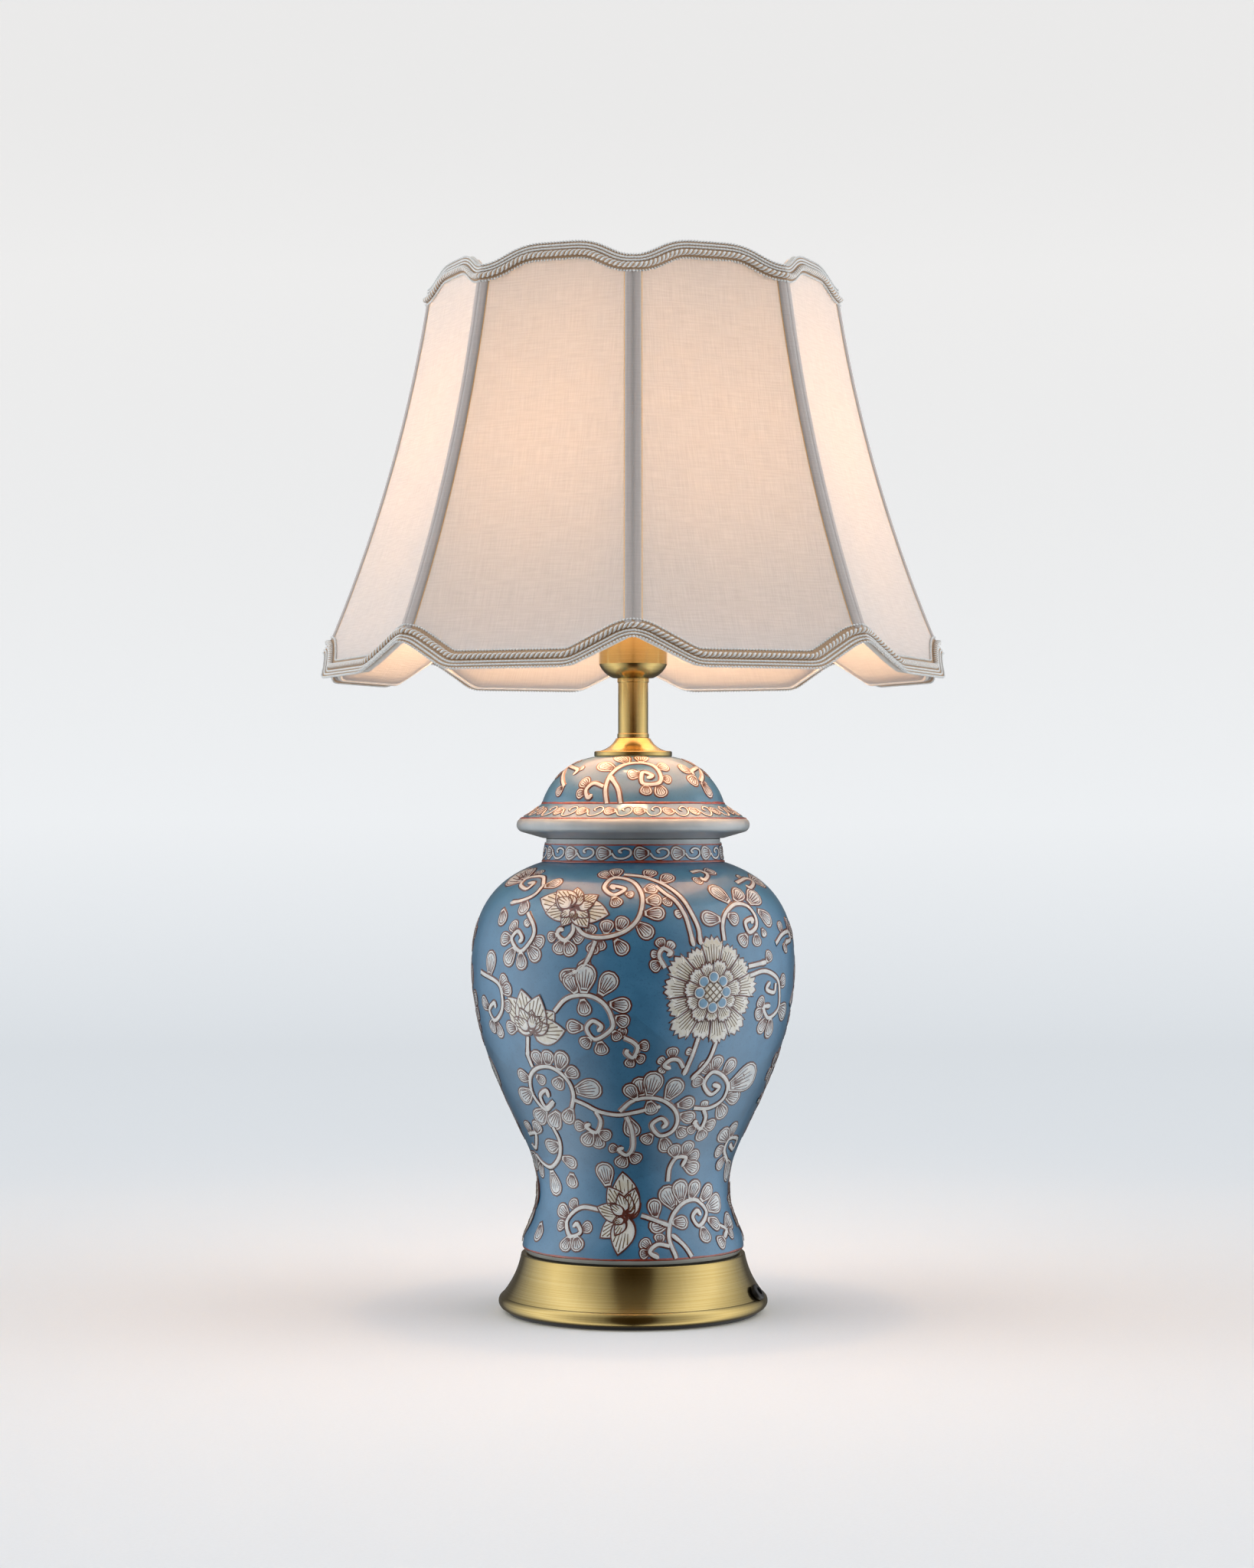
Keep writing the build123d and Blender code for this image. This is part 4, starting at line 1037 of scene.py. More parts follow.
class Skin:
    """Outer surface of a turned CAD node. A spot is (azimuth in radians, length up the profile)."""

    def __init__(self, node, low, high, step):
        self.tree = tree_of(node)
        self.heights = [low + step * index for index in range(int((high - low) / step) + 1)]
        radii = [reach_at(self.tree, outward(0), OUTSIDE_JAR, height) for height in self.heights]
        padded = [radii[0]] + radii + [radii[-1]]
        self.radii = [sum(padded[index:index + 3]) / 3 for index in range(len(radii))]
        self.lengths = [0]
        for index in range(1, len(radii)):
            rise = self.heights[index] - self.heights[index - 1]
            run = self.radii[index] - self.radii[index - 1]
            self.lengths.append(self.lengths[-1] + hypot(rise, run))

    def radius(self, length):
        return interpolate(self.lengths, self.radii, length)

    def height(self, length):
        return interpolate(self.lengths, self.heights, length)

    def length_at(self, height):
        return interpolate(self.heights, self.lengths, height)

    def point(self, spot, lift):
        """Point over a spot, lifted off the surface."""
        azimuth, length = spot
        length = min(max(length, 0), self.lengths[-1])
        low = max(length - SLOPE_REACH, 0)
        high = min(length + SLOPE_REACH, self.lengths[-1])
        run = self.radius(high) - self.radius(low)
        rise = self.height(high) - self.height(low)
        size = hypot(run, rise)
        radius = self.radius(length) + lift * rise / size
        height = self.height(length) - lift * run / size
        return Vector((sin(azimuth) * radius, -cos(azimuth) * radius, height))

    def seen(self, column, row):
        """Spot that the camera sees at a pixel of the photograph, or the next towards the middle."""
        eye = Vector((0, -CAMERA_DISTANCE, CAMERA_HEIGHT))
        middle = (self.heights[0] + self.heights[-1]) / 2
        middle_row = HORIZON_ROW + FOCAL_PIXELS * (CAMERA_HEIGHT - middle) / CAMERA_DISTANCE
        for step in range(SEARCH_STEPS):
            share = step / SEARCH_STEPS
            right = (column - AXIS_COLUMN) * (1 - share) / FOCAL_PIXELS
            down = (row + (middle_row - row) * share - HORIZON_ROW) / FOCAL_PIXELS
            hit = self.tree.ray_cast(eye, Vector((right, 1, -down)).normalized())[0]
            if hit:
                return atan2(hit.x, -hit.y), self.length_at(hit.z)
        raise ValueError(f"nothing of the piece is near pixel {column}, {row}")

    def between(self, start, end):
        """Sideways and upward distance from one spot to another."""
        radius = self.radius((start[1] + end[1]) / 2)
        return (end[0] - start[0]) * radius, end[1] - start[1]

    def moved(self, spot, sideways, upward):
        """Spot at a sideways and an upward distance from another."""
        length = spot[1] + upward
        return spot[0] + sideways / self.radius(length), length


class Relief(Mesh):
    """Painted strokes, leaves and flowers that follow a skin."""

    def __init__(self, skin, turn=0.0):
        super().__init__()
        self.skin = skin
        self.turn = turn
        self.count = 0

    def on_skin(self, spot, lift):
        return self.skin.point((spot[0] + self.turn, spot[1]), lift)

    def spline(self, spots):
        """Smooth line of spots through the given ones, at even steps."""
        if len(spots) == 2:
            middle = tuple((a + b) / 2 for a, b in zip(*spots))
            spots = [spots[0], middle, spots[1]]
        ahead = tuple(2 * a - b for a, b in zip(spots[0], spots[1]))
        beyond = tuple(2 * a - b for a, b in zip(spots[-1], spots[-2]))
        knots = [ahead, *spots, beyond]
        line = []
        for before, start, end, after in zip(knots, knots[1:], knots[2:], knots[3:]):
            steps = max(2, round(hypot(*self.skin.between(start, end)) / STROKE_STEP))
            for step in range(steps):
                t = step / steps
                line.append(tuple(
                    0.5 * (2 * s + (e - b) * t + (2 * b - 5 * s + 4 * e - a) * t ** 2
                           + (3 * s - b - 3 * e + a) * t ** 3)
                    for b, s, e, a in zip(before, start, end, after)
                ))
        return line + [spots[-1]]

    def strip(self, line, widths, section):
        """Stroke along a line of spots, with its section scaled by a width at each spot."""
        rows = []
        for index, spot in enumerate(line):
            start = line[max(index - 1, 0)]
            end = line[min(index + 1, len(line) - 1)]
            dx, dy = self.skin.between(start, end)
            size = hypot(dx, dy) or 1
            row = []
            for place, height, _ in section:
                reach = place * widths[index]
                beside = self.skin.moved(spot, -dy / size * reach, dx / size * reach)
                row.append(self.on_skin(beside, height))
            rows.append(row)
        self.grid(rows, [enamel for _, _, enamel in section[:-1]])

    def vine(self, line, scale=1.0):
        """White vine with red-brown edges that ends in a rounded bud."""
        left = 0
        remaining = [0]
        for start, end in zip(line[::-1], line[-2::-1]):
            left += hypot(*self.skin.between(start, end))
            remaining.append(left)
        bud = BUD_LENGTH * scale
        widths = []
        for distance in reversed(remaining):
            swell = 1 + BUD_BULGE * max(0, 1 - abs(distance - 2 * bud) / (2 * bud))
            close = sqrt(max(0.0, 1 - max(0.0, 1 - distance / bud) ** 2))
            widths.append(scale * swell * max(close, BUD_POINT))
        self.strip(line, widths, VINE_SECTION)

    def hatch(self, spots, enamel, lift):
        """Thin stroke through spots, which narrows towards its end."""
        line = self.spline(spots)
        edge = lift - HATCH_LIFT
        section = ((-1, edge, enamel), (0, lift + HATCH_LIFT, enamel), (1, edge, enamel))
        last = len(line) - 1
        widths = [HATCH_HALF_WIDTH * (1 - HATCH_TAPER * index / last) for index in range(last + 1)]
        self.strip(line, widths, section)

    def blade(self, base, tip, outline, fatness, rings, strokes=0, enamel=OUTLINE, lift=0.0,
              hatch=base_hatch):
        """Leaf or petal from a base to a tip. The outline gives (along, aside) shares round it."""
        dx, dy = self.skin.between(base, tip)
        length = hypot(dx, dy)
        along_x, along_y = dx / length, dy / length
        half = fatness * length / 2
        middle = BLADE_MIDDLE * length
        self.count += 1
        lift += LAYER_STEP * (self.count % LAYER_COUNT)

        def spot(along, aside):
            sideways = along_x * along - along_y * aside
            upward = along_y * along + along_x * aside
            return self.skin.moved(base, sideways, upward)

        rows = []
        for inset, height, _ in rings:
            scale = max(1 - inset / half, SMALLEST_RING)
            ring = []
            for along, aside in outline:
                place = spot(middle + (along * length - middle) * scale, aside * half * scale)
                ring.append(self.on_skin(place, height + lift))
            rows.append(ring)
        for (lower, upper), (_, _, filling) in zip(zip(rows, rows[1:]), rings):
            self.grid([lower, upper], filling, closed=True)
        centre = self.on_skin(spot(middle, 0), rings[-1][1] + lift)
        width = len(outline)
        fan = [(column, (column + 1) % width, width) for column in range(width)]
        self.add(rows[-1] + [centre], fan, rings[-1][2])
        for stroke in range(strokes):
            share = (stroke - (strokes - 1) / 2) / strokes
            line = [spot(along * length, aside * half) for along, aside in hatch(share)]
            self.hatch(line, enamel, rings[-1][1] + lift + HATCH_LIFT)


def waver(waves, angle):
    """Sum of waves round a circle, each with its size, its count in a turn and its phase."""
    return sum(size * sin(count * angle + phase) for size, count, phase in waves)


def mirrored(half):
    """Closed outline from its left half, given from base to tip."""
    return half + [(along, -aside) for along, aside in half[-2:0:-1]]


def lobe_outline():
    """Spoon-shaped leaf: slim at its base and round at its tip."""
    half = []
    steps = 12
    base_width = 0.34
    widest = 0.64
    ease = 1.4
    for step in range(steps):
        along = 1 - cos(pi / 2 * step / steps) ** ease
        if along < widest:
            aside = base_width + (1 - base_width) * sin(pi / 2 * along / widest) ** ease
        else:
            aside = sqrt(1 - ((along - widest) / (1 - widest)) ** 2)
        half.append((along, aside))
    return mirrored(half + [(1.0, 0.0)])


def petal_outline():
    """Pointed lotus petal."""
    half = []
    steps = 10
    base_width = 0.25
    ease = 0.85
    for step in range(steps):
        along = step / steps
        half.append((along, base_width * (1 - along) + sin(pi * along ** ease) ** ease))
    return mirrored(half + [(1.0, 0.0)])


def frill_outline():
    """Fan-shaped peony petal with three scallops at its tip."""
    shoulder = 0.86
    half = [(0.0, 0.3), (0.25, 0.5), (0.5, 0.74), (0.72, 0.95), (shoulder, 1.0)]
    steps = 8
    depth = 0.15
    for step in range(1, steps):
        turn = pi / 2 * step / steps
        scallop = depth * abs(sin(3 * turn))
        half.append((shoulder + (1 - shoulder) * sin(turn) - scallop, cos(turn)))
    return mirrored(half + [(0.99, 0.0)])


LOBE = lobe_outline()
POINTED = petal_outline()
FRILL = frill_outline()


def leaf_fatness(length):
    """Width of a leaf as a share of its length: short leaves are nearly round."""
    return min(1.0, max(LEAF_SLIMMEST, LEAF_WIDTH / length))


def add_leaf(relief, base, tip):
    """Leaf a little past its tip, with a second line inside it if it is large."""
    dx, dy = relief.skin.between(base, tip)
    size = hypot(dx, dy)
    length = max(size * LEAF_REACH, LEAF_SHORTEST)
    tip = relief.skin.moved(base, dx / size * length, dy / size * length)
    fatness = leaf_fatness(length)
    if fatness * length / 2 < SMALL_LEAF:
        relief.blade(base, tip, LOBE, fatness, SMALL_LEAF_RINGS, SMALL_LEAF_STROKES)
    else:
        relief.blade(base, tip, LOBE, fatness, LEAF_RINGS, LEAF_STROKES)


class Sketch:
    """Part of the photograph that was read off: a reading is a pixel of its zoomed crop."""

    def __init__(self, left, top, zoom):
        self.left = left
        self.top = top
        self.zoom = zoom

    def spot(self, skin, reading):
        column, row = reading
        return skin.seen(self.left + column / self.zoom, self.top + row / self.zoom)


SHOULDER_LEFT = Sketch(600, 1080, 5.227)
SHOULDER_RIGHT = Sketch(740, 1110, 5.058)
LOWER_BODY = Sketch(640, 1360, 4.48)
LID_FRONT = Sketch(670, 960, 4.9)


class Scroll:
    """Vines with the leaves on them. A leaf is given by its base and tip, or by its tip alone."""

    def __init__(self, sketch, vines=(), leaves=(), tips=()):
        self.sketch = sketch
        self.vines = vines
        self.leaves = leaves
        self.tips = tips

    def paint(self, relief):
        skin = relief.skin
        lines = []
        for vine in self.vines:
            lines.append(relief.spline([self.sketch.spot(skin, point) for point in vine]))
        for base, tip in self.leaves:
            add_leaf(relief, self.sketch.spot(skin, base), self.sketch.spot(skin, tip))
        nodes = [spot for line in lines for spot in line]
        for tip in self.tips:
            end = self.sketch.spot(skin, tip)
            base = min(nodes, key=lambda spot: hypot(*skin.between(spot, end)))
            add_leaf(relief, base, end)
        for line in lines:
            relief.vine(line)


class Lotus:
    """Side view of a lotus: pointed petals that spread from its heart, smaller ones between them."""

    strokes = 5
    petal_lift = 0.1
    inner_strokes = 3
    inner_share = 0.6               # length of a smaller petal, as a share of its neighbours'
    base_share = 0.2                # where it starts, as a share of its length
    widest_gap = 1.3                # between neighbours that have one, in radians

    def __init__(self, sketch, heart, tips, fatness=0.62):
        self.sketch = sketch
        self.heart = heart
        self.tips = tips
        self.fatness = fatness

    def paint(self, relief):
        skin = relief.skin
        heart = self.sketch.spot(skin, self.heart)
        reaches = []
        for index, tip in enumerate(self.tips):
            end = self.sketch.spot(skin, tip)
            self.add_petal(relief, heart, end, self.strokes, index)
            sideways, upward = skin.between(heart, end)
            reaches.append((atan2(upward, sideways), hypot(sideways, upward)))
        reaches.sort()
        for (angle, reach), (next_angle, next_reach) in zip(reaches, reaches[1:]):
            if next_angle - angle < self.widest_gap:
                middle = (angle + next_angle) / 2
                length = self.inner_share * (reach + next_reach) / 2
                base, end = (
                    skin.moved(heart, share * length * cos(middle), share * length * sin(middle))
                    for share in (self.base_share, 1)
                )
                self.add_petal(relief, base, end, self.inner_strokes, len(reaches))

    def add_petal(self, relief, base, tip, strokes, layer):
        lift = self.petal_lift * layer
        relief.blade(base, tip, POINTED, self.fatness, PETAL_RINGS, strokes, GOLD, lift, tip_hatch)


class Peony:
    """Round flower: frilled petals in two rings, a ring of beads and a latticed heart."""

    outer_count = 13
    outer_start = 0.55              # share of the inner ring's radius at which the outer petals start
    outer_fatness = 0.62
    inner_count = 11
    inner_start = 0.6               # share of the bead ring's radius at which the inner petals start
    inner_fatness = 0.66
    inner_lift = 0.5
    strokes = 6
    uneven_waves = ((0.08, 5, 1),)  # of the petals' lengths, as for a hand-drawn line
    bead_count = 8
    disc_sides = 18
    lattice_rows = 2                # to each side of the middle one
    lattice_lift = 1.5

    def __init__(self, sketch, heart, radius, inner_radius, bead_ring, bead_radius, heart_radius):
        self.sketch = sketch
        self.heart = heart
        self.radius = radius
        self.inner_radius = inner_radius
        self.bead_ring = bead_ring
        self.bead_radius = bead_radius
        self.heart_radius = heart_radius

    def paint(self, relief):
        centre = self.sketch.spot(relief.skin, self.heart)

        def polar(radius, angle):
            return relief.skin.moved(centre, radius * sin(angle), radius * cos(angle))

        rings = (
            (self.outer_count, self.outer_start * self.inner_radius, self.radius, self.outer_fatness),
            (self.inner_count, self.inner_start * self.bead_ring, self.inner_radius,
             self.inner_fatness),
        )
        for ring, (count, start, reach, fatness) in enumerate(rings):
            for index in range(count):
                angle = 2 * pi * (index + ring / 2) / count
                uneven = reach * (1 + waver(self.uneven_waves, angle))
                relief.blade(polar(start, angle), polar(uneven, angle), FRILL, fatness, PETAL_RINGS,
                             self.strokes, GOLD, ring * self.inner_lift)
        for angle in round_angles(self.bead_count):
            self.add_disc(relief, polar(self.bead_ring, angle), self.bead_radius, BEAD)
        self.add_disc(relief, centre, self.heart_radius, PETAL)
        self.add_lattice(relief, centre)

    def add_disc(self, relief, centre, radius, enamel):
        """Raised round spot in a white frame with a red-brown edge."""
        rings = (
            (-0.5, 0.3, OUTLINE), (-0.35, 0.95, OUTLINE), (0.1, 1.0, WHITE),
            (0.8, 1.1, enamel), (1.4, 1.2, enamel),
        )
        outline = [(0.5 - 0.5 * cos(angle), sin(angle)) for angle in round_angles(self.disc_sides)]
        base = relief.skin.moved(centre, 0, -radius)
        tip = relief.skin.moved(centre, 0, radius)
        relief.blade(base, tip, outline, 1.0, rings)

    def add_lattice(self, relief, centre):
        """Slanted lines both ways over the heart, shorter towards its edge."""
        spacing = 0.36
        roundness = 0.8
        length = 0.72
        shortest = 0.1
        for slant in (-1, 1):
            for row in range(-self.lattice_rows, self.lattice_rows + 1):
                shift = row * self.heart_radius * spacing
                half = sqrt(max(self.heart_radius ** 2 * roundness - shift ** 2, shortest)) * length
                ends = [(shift + sign * half, slant * (sign * half - shift)) for sign in (-1, 1)]
                spots = [relief.skin.moved(centre, x, y) for x, y in ends]
                relief.hatch(spots, GOLD, self.lattice_lift)


# The jar's painting, read from the photograph

JAR_SCROLLS = {
    "shoulder_curl": Scroll(
        SHOULDER_LEFT,
        vines=[
            [
                (575, 400), (575, 345), (520, 340), (460, 355), (420, 395), (460, 425), (510, 385),
                (470, 385),
            ],
            [(575, 400), (520, 460), (440, 500), (350, 520)],
        ],
        leaves=[((575, 410), (690, 375)), ((450, 490), (440, 590)), ((300, 560), (300, 660))],
        tips=[(390, 330), (480, 300), (560, 300)],
    ),
    "left_upper": Scroll(
        SHOULDER_LEFT,
        vines=[[
            (470, 585), (510, 680), (500, 760), (420, 850), (360, 770), (400, 712), (430, 760),
            (405, 790),
        ]],
        tips=[(365, 655), (450, 670), (290, 765), (320, 930), (430, 965), (570, 800), (540, 900)],
    ),
    "left_edge": Scroll(
        SHOULDER_LEFT,
        vines=[[
            (150, 990), (260, 1060), (295, 1160), (290, 1260), (245, 1320), (208, 1250), (240, 1200),
            (250, 1240),
        ]],
        tips=[(225, 860), (320, 1030), (350, 1100), (230, 1390), (290, 1430), (160, 1180), (350, 1230)],
    ),
    "under_first_lotus": Scroll(
        SHOULDER_LEFT,
        vines=[[(780, 650), (775, 720), (720, 775), (670, 735), (690, 700), (715, 710)]],
        tips=[(670, 860), (770, 870), (610, 760), (840, 770)],
    ),
    "middle_chain": Scroll(
        SHOULDER_LEFT,
        vines=[[(930, 780), (890, 880), (840, 960), (750, 1010)]],
        leaves=[((930, 780), (900, 860)), ((880, 900), (840, 990)), ((800, 980), (700, 1040))],
    ),
    "middle_scroll": Scroll(
        SHOULDER_LEFT,
        vines=[[
            (650, 1260), (720, 1180), (800, 1150), (900, 1155), (990, 1210), (1040, 1300), (1040, 1380),
            (930, 1450), (870, 1380), (910, 1325), (970, 1360), (945, 1400),
        ]],
        leaves=[
            ((800, 1140), (740, 1010)), ((850, 1140), (870, 950)), ((960, 1150), (1050, 1010)),
            ((1020, 1210), (1160, 1220)), ((1060, 1300), (1150, 1340)), ((1050, 1390), (1090, 1450)),
            ((840, 1170), (860, 1280)), ((900, 1440), (840, 1490)), ((960, 1460), (975, 1550)),
            ((850, 1370), (740, 1360)),
        ],
    ),
    "second_lotus_stem": Scroll(
        SHOULDER_LEFT,
        vines=[[(470, 1430), (470, 1568)]],
        leaves=[((400, 1370), (330, 1370))],
    ),
    "front_scroll": Scroll(
        SHOULDER_RIGHT,
        vines=[[
            (60, 490), (110, 555), (200, 580), (300, 570), (400, 530), (470, 460), (500, 370),
            (495, 290), (450, 220), (380, 190), (300, 190), (250, 250), (310, 300), (385, 260),
            (300, 240), (320, 265),
        ]],
        leaves=[
            ((510, 270), (590, 250)), ((520, 340), (620, 330)), ((510, 420), (640, 420)),
            ((460, 480), (560, 570)), ((320, 590), (390, 680)), ((260, 560), (270, 470)),
            ((340, 540), (380, 450)), ((310, 310), (340, 370)), ((390, 290), (440, 300)),
        ],
        tips=[(220, 660), (170, 500), (240, 150), (330, 130)],
    ),
    "peony_stem": Scroll(
        SHOULDER_RIGHT,
        vines=[
            [
                (380, 165), (480, 175), (560, 195), (660, 240), (760, 320), (830, 430), (870, 520),
                (880, 590), (890, 630),
            ],
            [(590, 240), (650, 290), (720, 340), (780, 430), (810, 520), (830, 600), (842, 640)],
        ],
        tips=[(560, 140), (680, 170), (650, 360), (720, 430)],
    ),
    "right_upper": Scroll(
        SHOULDER_RIGHT,
        vines=[[
            (1040, 600), (1030, 500), (1050, 420), (1110, 360), (1190, 370), (1245, 440), (1250, 510),
            (1205, 545), (1180, 480), (1225, 455), (1220, 490),
        ]],
        leaves=[
            ((1080, 350), (960, 250)), ((1110, 340), (1140, 270)), ((1020, 460), (900, 450)),
            ((1060, 430), (1130, 470)), ((1260, 400), (1350, 480)), ((1250, 550), (1260, 630)),
            ((1200, 350), (1250, 290)), ((1290, 520), (1310, 570)), ((1190, 560), (1150, 620)),
        ],
    ),
    "shoulder_right_curls": Scroll(
        SHOULDER_RIGHT,
        vines=[
            [(820, 150), (880, 140), (930, 165), (910, 200), (880, 180)],
            [(1120, 220), (1180, 190), (1230, 210), (1215, 250), (1180, 235)],
        ],
        tips=[(960, 140), (850, 210), (1270, 200), (1140, 180)],
    ),
    "peony_curl": Scroll(
        SHOULDER_RIGHT,
        vines=[[(650, 780), (610, 700), (640, 652), (690, 680), (660, 700)]],
        tips=[(560, 690), (610, 590), (560, 780), (700, 610)],
    ),
    "right_middle": Scroll(
        SHOULDER_RIGHT,
        vines=[
            [(1200, 770), (1320, 740)],
            [
                (1210, 830), (1310, 800), (1390, 850), (1405, 940), (1395, 1050), (1330, 1110),
                (1300, 1040), (1345, 1030),
            ],
            [(1380, 880), (1370, 940), (1320, 920), (1345, 870)],
        ],
        tips=[
            (1345, 680), (1440, 850), (1270, 990), (1250, 1100), (1330, 1230), (1270, 1200),
            (1440, 1080),
        ],
    ),
    "right_edge": Scroll(
        SHOULDER_RIGHT,
        vines=[[(1380, 620), (1420, 560), (1460, 540), (1475, 590), (1445, 610)]],
        tips=[(1400, 480), (1450, 460), (1490, 520), (1440, 670)],
    ),
    "peony_tails": Scroll(
        SHOULDER_RIGHT,
        vines=[
            [(868, 1242), (860, 1270), (820, 1380), (770, 1490)],
            [(986, 1260), (980, 1290), (930, 1400), (820, 1520)],
            [(770, 1440), (740, 1390), (690, 1385), (645, 1425), (690, 1445)],
        ],
        tips=[(700, 1310), (610, 1380), (620, 1470), (800, 1330)],
    ),
    "middle_curl": Scroll(
        SHOULDER_RIGHT,
        vines=[[(380, 1240), (440, 1270), (470, 1310), (440, 1372), (395, 1340), (412, 1318)]],
        tips=[(540, 1290), (510, 1390), (410, 1430), (360, 1180)],
    ),
    "lower_left_wheel": Scroll(
        LOWER_BODY,
        vines=[
            [
                (480, 390), (490, 320), (470, 250), (420, 190), (350, 150), (280, 155), (240, 200),
                (240, 270), (270, 340), (330, 400), (375, 350),
            ],
            [(375, 350), (330, 385), (295, 320), (330, 285), (345, 330)],
            [(250, 150), (215, 60)],
        ],
        leaves=[
            ((300, 150), (260, 60)), ((340, 145), (340, 60)), ((400, 170), (430, 70)),
            ((440, 200), (510, 170)), ((490, 290), (640, 270)), ((480, 390), (450, 470)),
            ((400, 410), (370, 500)), ((330, 400), (280, 460)), ((240, 220), (170, 190)),
            ((250, 290), (190, 330)), ((270, 200), (320, 240)), ((420, 210), (390, 270)),
        ],
    ),
    "long_vine": Scroll(
        LOWER_BODY,
        vines=[[(490, 340), (560, 370), (640, 410), (750, 430), (850, 415), (930, 395), (1000, 380)]],
    ),
    "lower_middle": Scroll(
        LOWER_BODY,
        vines=[[
            (760, 410), (830, 350), (920, 330), (1010, 345), (1080, 400), (1095, 470), (1060, 530),
            (990, 550), (945, 490), (1000, 450), (1030, 480), (1005, 510),
        ]],
        leaves=[
            ((890, 325), (870, 220)), ((930, 325), (970, 190)), ((1030, 345), (1110, 230)),
            ((1090, 375), (1190, 350)), ((1105, 430), (1190, 450)), ((1095, 500), (1140, 550)),
            ((1010, 555), (1030, 640)), ((950, 540), (900, 590)), ((930, 345), (950, 420)),
            ((860, 340), (800, 260)),
        ],
    ),
    "lower_right": Scroll(
        LOWER_BODY,
        vines=[[
            (1190, 390), (1280, 390), (1360, 340), (1390, 260), (1360, 200), (1300, 180), (1250, 250),
            (1290, 310), (1340, 270), (1300, 250),
        ]],
        tips=[
            (1240, 130), (1340, 90), (1430, 110), (1490, 210), (1550, 180), (1190, 230), (1260, 350),
            (1360, 440), (1450, 330),
        ],
    ),
    "left_droplet": Scroll(
        LOWER_BODY,
        vines=[[(620, 410), (650, 470), (625, 532), (565, 500), (590, 480)]],
        tips=[(500, 490), (560, 600), (700, 560), (640, 620)],
    ),
    "middle_droplet": Scroll(
        LOWER_BODY,
        vines=[[(800, 440), (830, 520), (835, 620), (800, 665), (755, 635), (785, 620)]],
        leaves=[((805, 445), (840, 550))],
        tips=[(760, 730), (870, 700), (700, 620)],
    ),
    "lower_stem": Scroll(
        LOWER_BODY,
        vines=[[(1040, 820), (1050, 740), (1090, 680), (1145, 680), (1120, 735)]],
        tips=[(1070, 610), (1170, 590), (1220, 660), (1210, 750)],
    ),
    "right_droplet": Scroll(
        LOWER_BODY,
        vines=[[(1250, 400), (1260, 450), (1230, 510), (1195, 475), (1215, 465)]],
        tips=[(1310, 490), (1240, 570), (1160, 530)],
    ),
    "third_lotus_left": Scroll(
        LOWER_BODY,
        vines=[[
            (640, 985), (550, 970), (490, 1000), (450, 1060), (470, 1140), (530, 1120), (510, 1070),
            (485, 1090),
        ]],
        leaves=[((690, 850), (660, 720)), ((300, 1060), (280, 1160))],
        tips=[(410, 970), (400, 1080), (430, 1220), (520, 1220), (590, 1080), (480, 930)],
    ),
    "third_lotus_right": Scroll(
        LOWER_BODY,
        vines=[
            [(885, 1020), (930, 1035), (1050, 1080)],
            [
                (1090, 1270), (1050, 1170), (1050, 1080), (1080, 1000), (1140, 940), (1210, 930),
                (1265, 1000), (1225, 1080), (1185, 1030), (1210, 990), (1235, 1020),
            ],
            [(1180, 1260), (1130, 1190), (1060, 1130)],
        ],
        leaves=[
            ((1085, 985), (1020, 860)), ((1120, 950), (1110, 820)), ((1170, 930), (1210, 820)),
            ((1230, 935), (1290, 850)), ((1265, 980), (1340, 930)), ((1045, 1070), (940, 1090)),
            ((970, 1040), (960, 930)), ((1060, 1060), (1150, 1060)), ((1240, 1080), (1270, 1170)),
            ((1270, 1040), (1340, 1080)),
        ],
    ),
    "foot_curl": Scroll(
        LOWER_BODY,
        vines=[[(1050, 1200), (980, 1190), (935, 1235), (990, 1270)]],
        tips=[(890, 1170), (880, 1250), (990, 1130)],
    ),
    "foot_right": Scroll(
        LOWER_BODY,
        vines=[[(1330, 1070), (1380, 1100), (1370, 1150)]],
        tips=[(1400, 1030), (1420, 1130), (1340, 1190)],
    ),
    "waist_left": Scroll(
        LOWER_BODY,
        vines=[
            [(370, 500), (410, 590), (405, 680), (360, 735), (310, 710), (270, 660)],
            [(230, 540), (270, 540), (270, 620), (245, 600)],
        ],
        leaves=[
            ((420, 680), (500, 720)), ((480, 770), (480, 850)), ((360, 750), (390, 890)),
            ((410, 600), (340, 620)),
        ],
        tips=[(285, 480), (210, 470), (300, 780), (260, 720)],
    ),
    "waist_right": Scroll(
        LOWER_BODY,
        vines=[[(1385, 700), (1370, 640), (1400, 570), (1445, 570), (1420, 630), (1400, 600)]],
        tips=[(1350, 530), (1430, 480), (1320, 650), (1330, 740), (1390, 790)],
    ),
}
JAR_FLOWERS = {
    "first_lotus": Lotus(
        SHOULDER_LEFT, (790, 560),
        [
            (560, 490), (590, 590), (1025, 600), (945, 470), (680, 440), (810, 420), (700, 680),
            (880, 690), (790, 640),
        ],
    ),
    "second_lotus": Lotus(
        SHOULDER_LEFT, (500, 1400),
        [
            (330, 1160), (655, 1265), (725, 1390), (425, 1110), (550, 1150), (380, 1300), (600, 1300),
            (500, 1250),
        ],
    ),
    "third_lotus": Lotus(
        LOWER_BODY, (800, 1030),
        [
            (775, 765), (690, 850), (630, 970), (640, 1150), (745, 1250), (880, 950), (850, 860),
            (720, 1060),
        ],
        fatness=0.54,
    ),
    "peony": Peony(
        SHOULDER_RIGHT, (965, 940),
        radius=32.5, inner_radius=19.5, bead_ring=9.2, bead_radius=3.5, heart_radius=6.2,
    ),
}
# Motifs repeated at the sides, which the photograph doesn't show, and the degrees each is turned by
SIDE_REPEATS = {
    "under_first_lotus": 118,
    "middle_scroll": 106,
    "lower_right": 47,
    "left_droplet": 111,
    "third_lotus": 99,
}

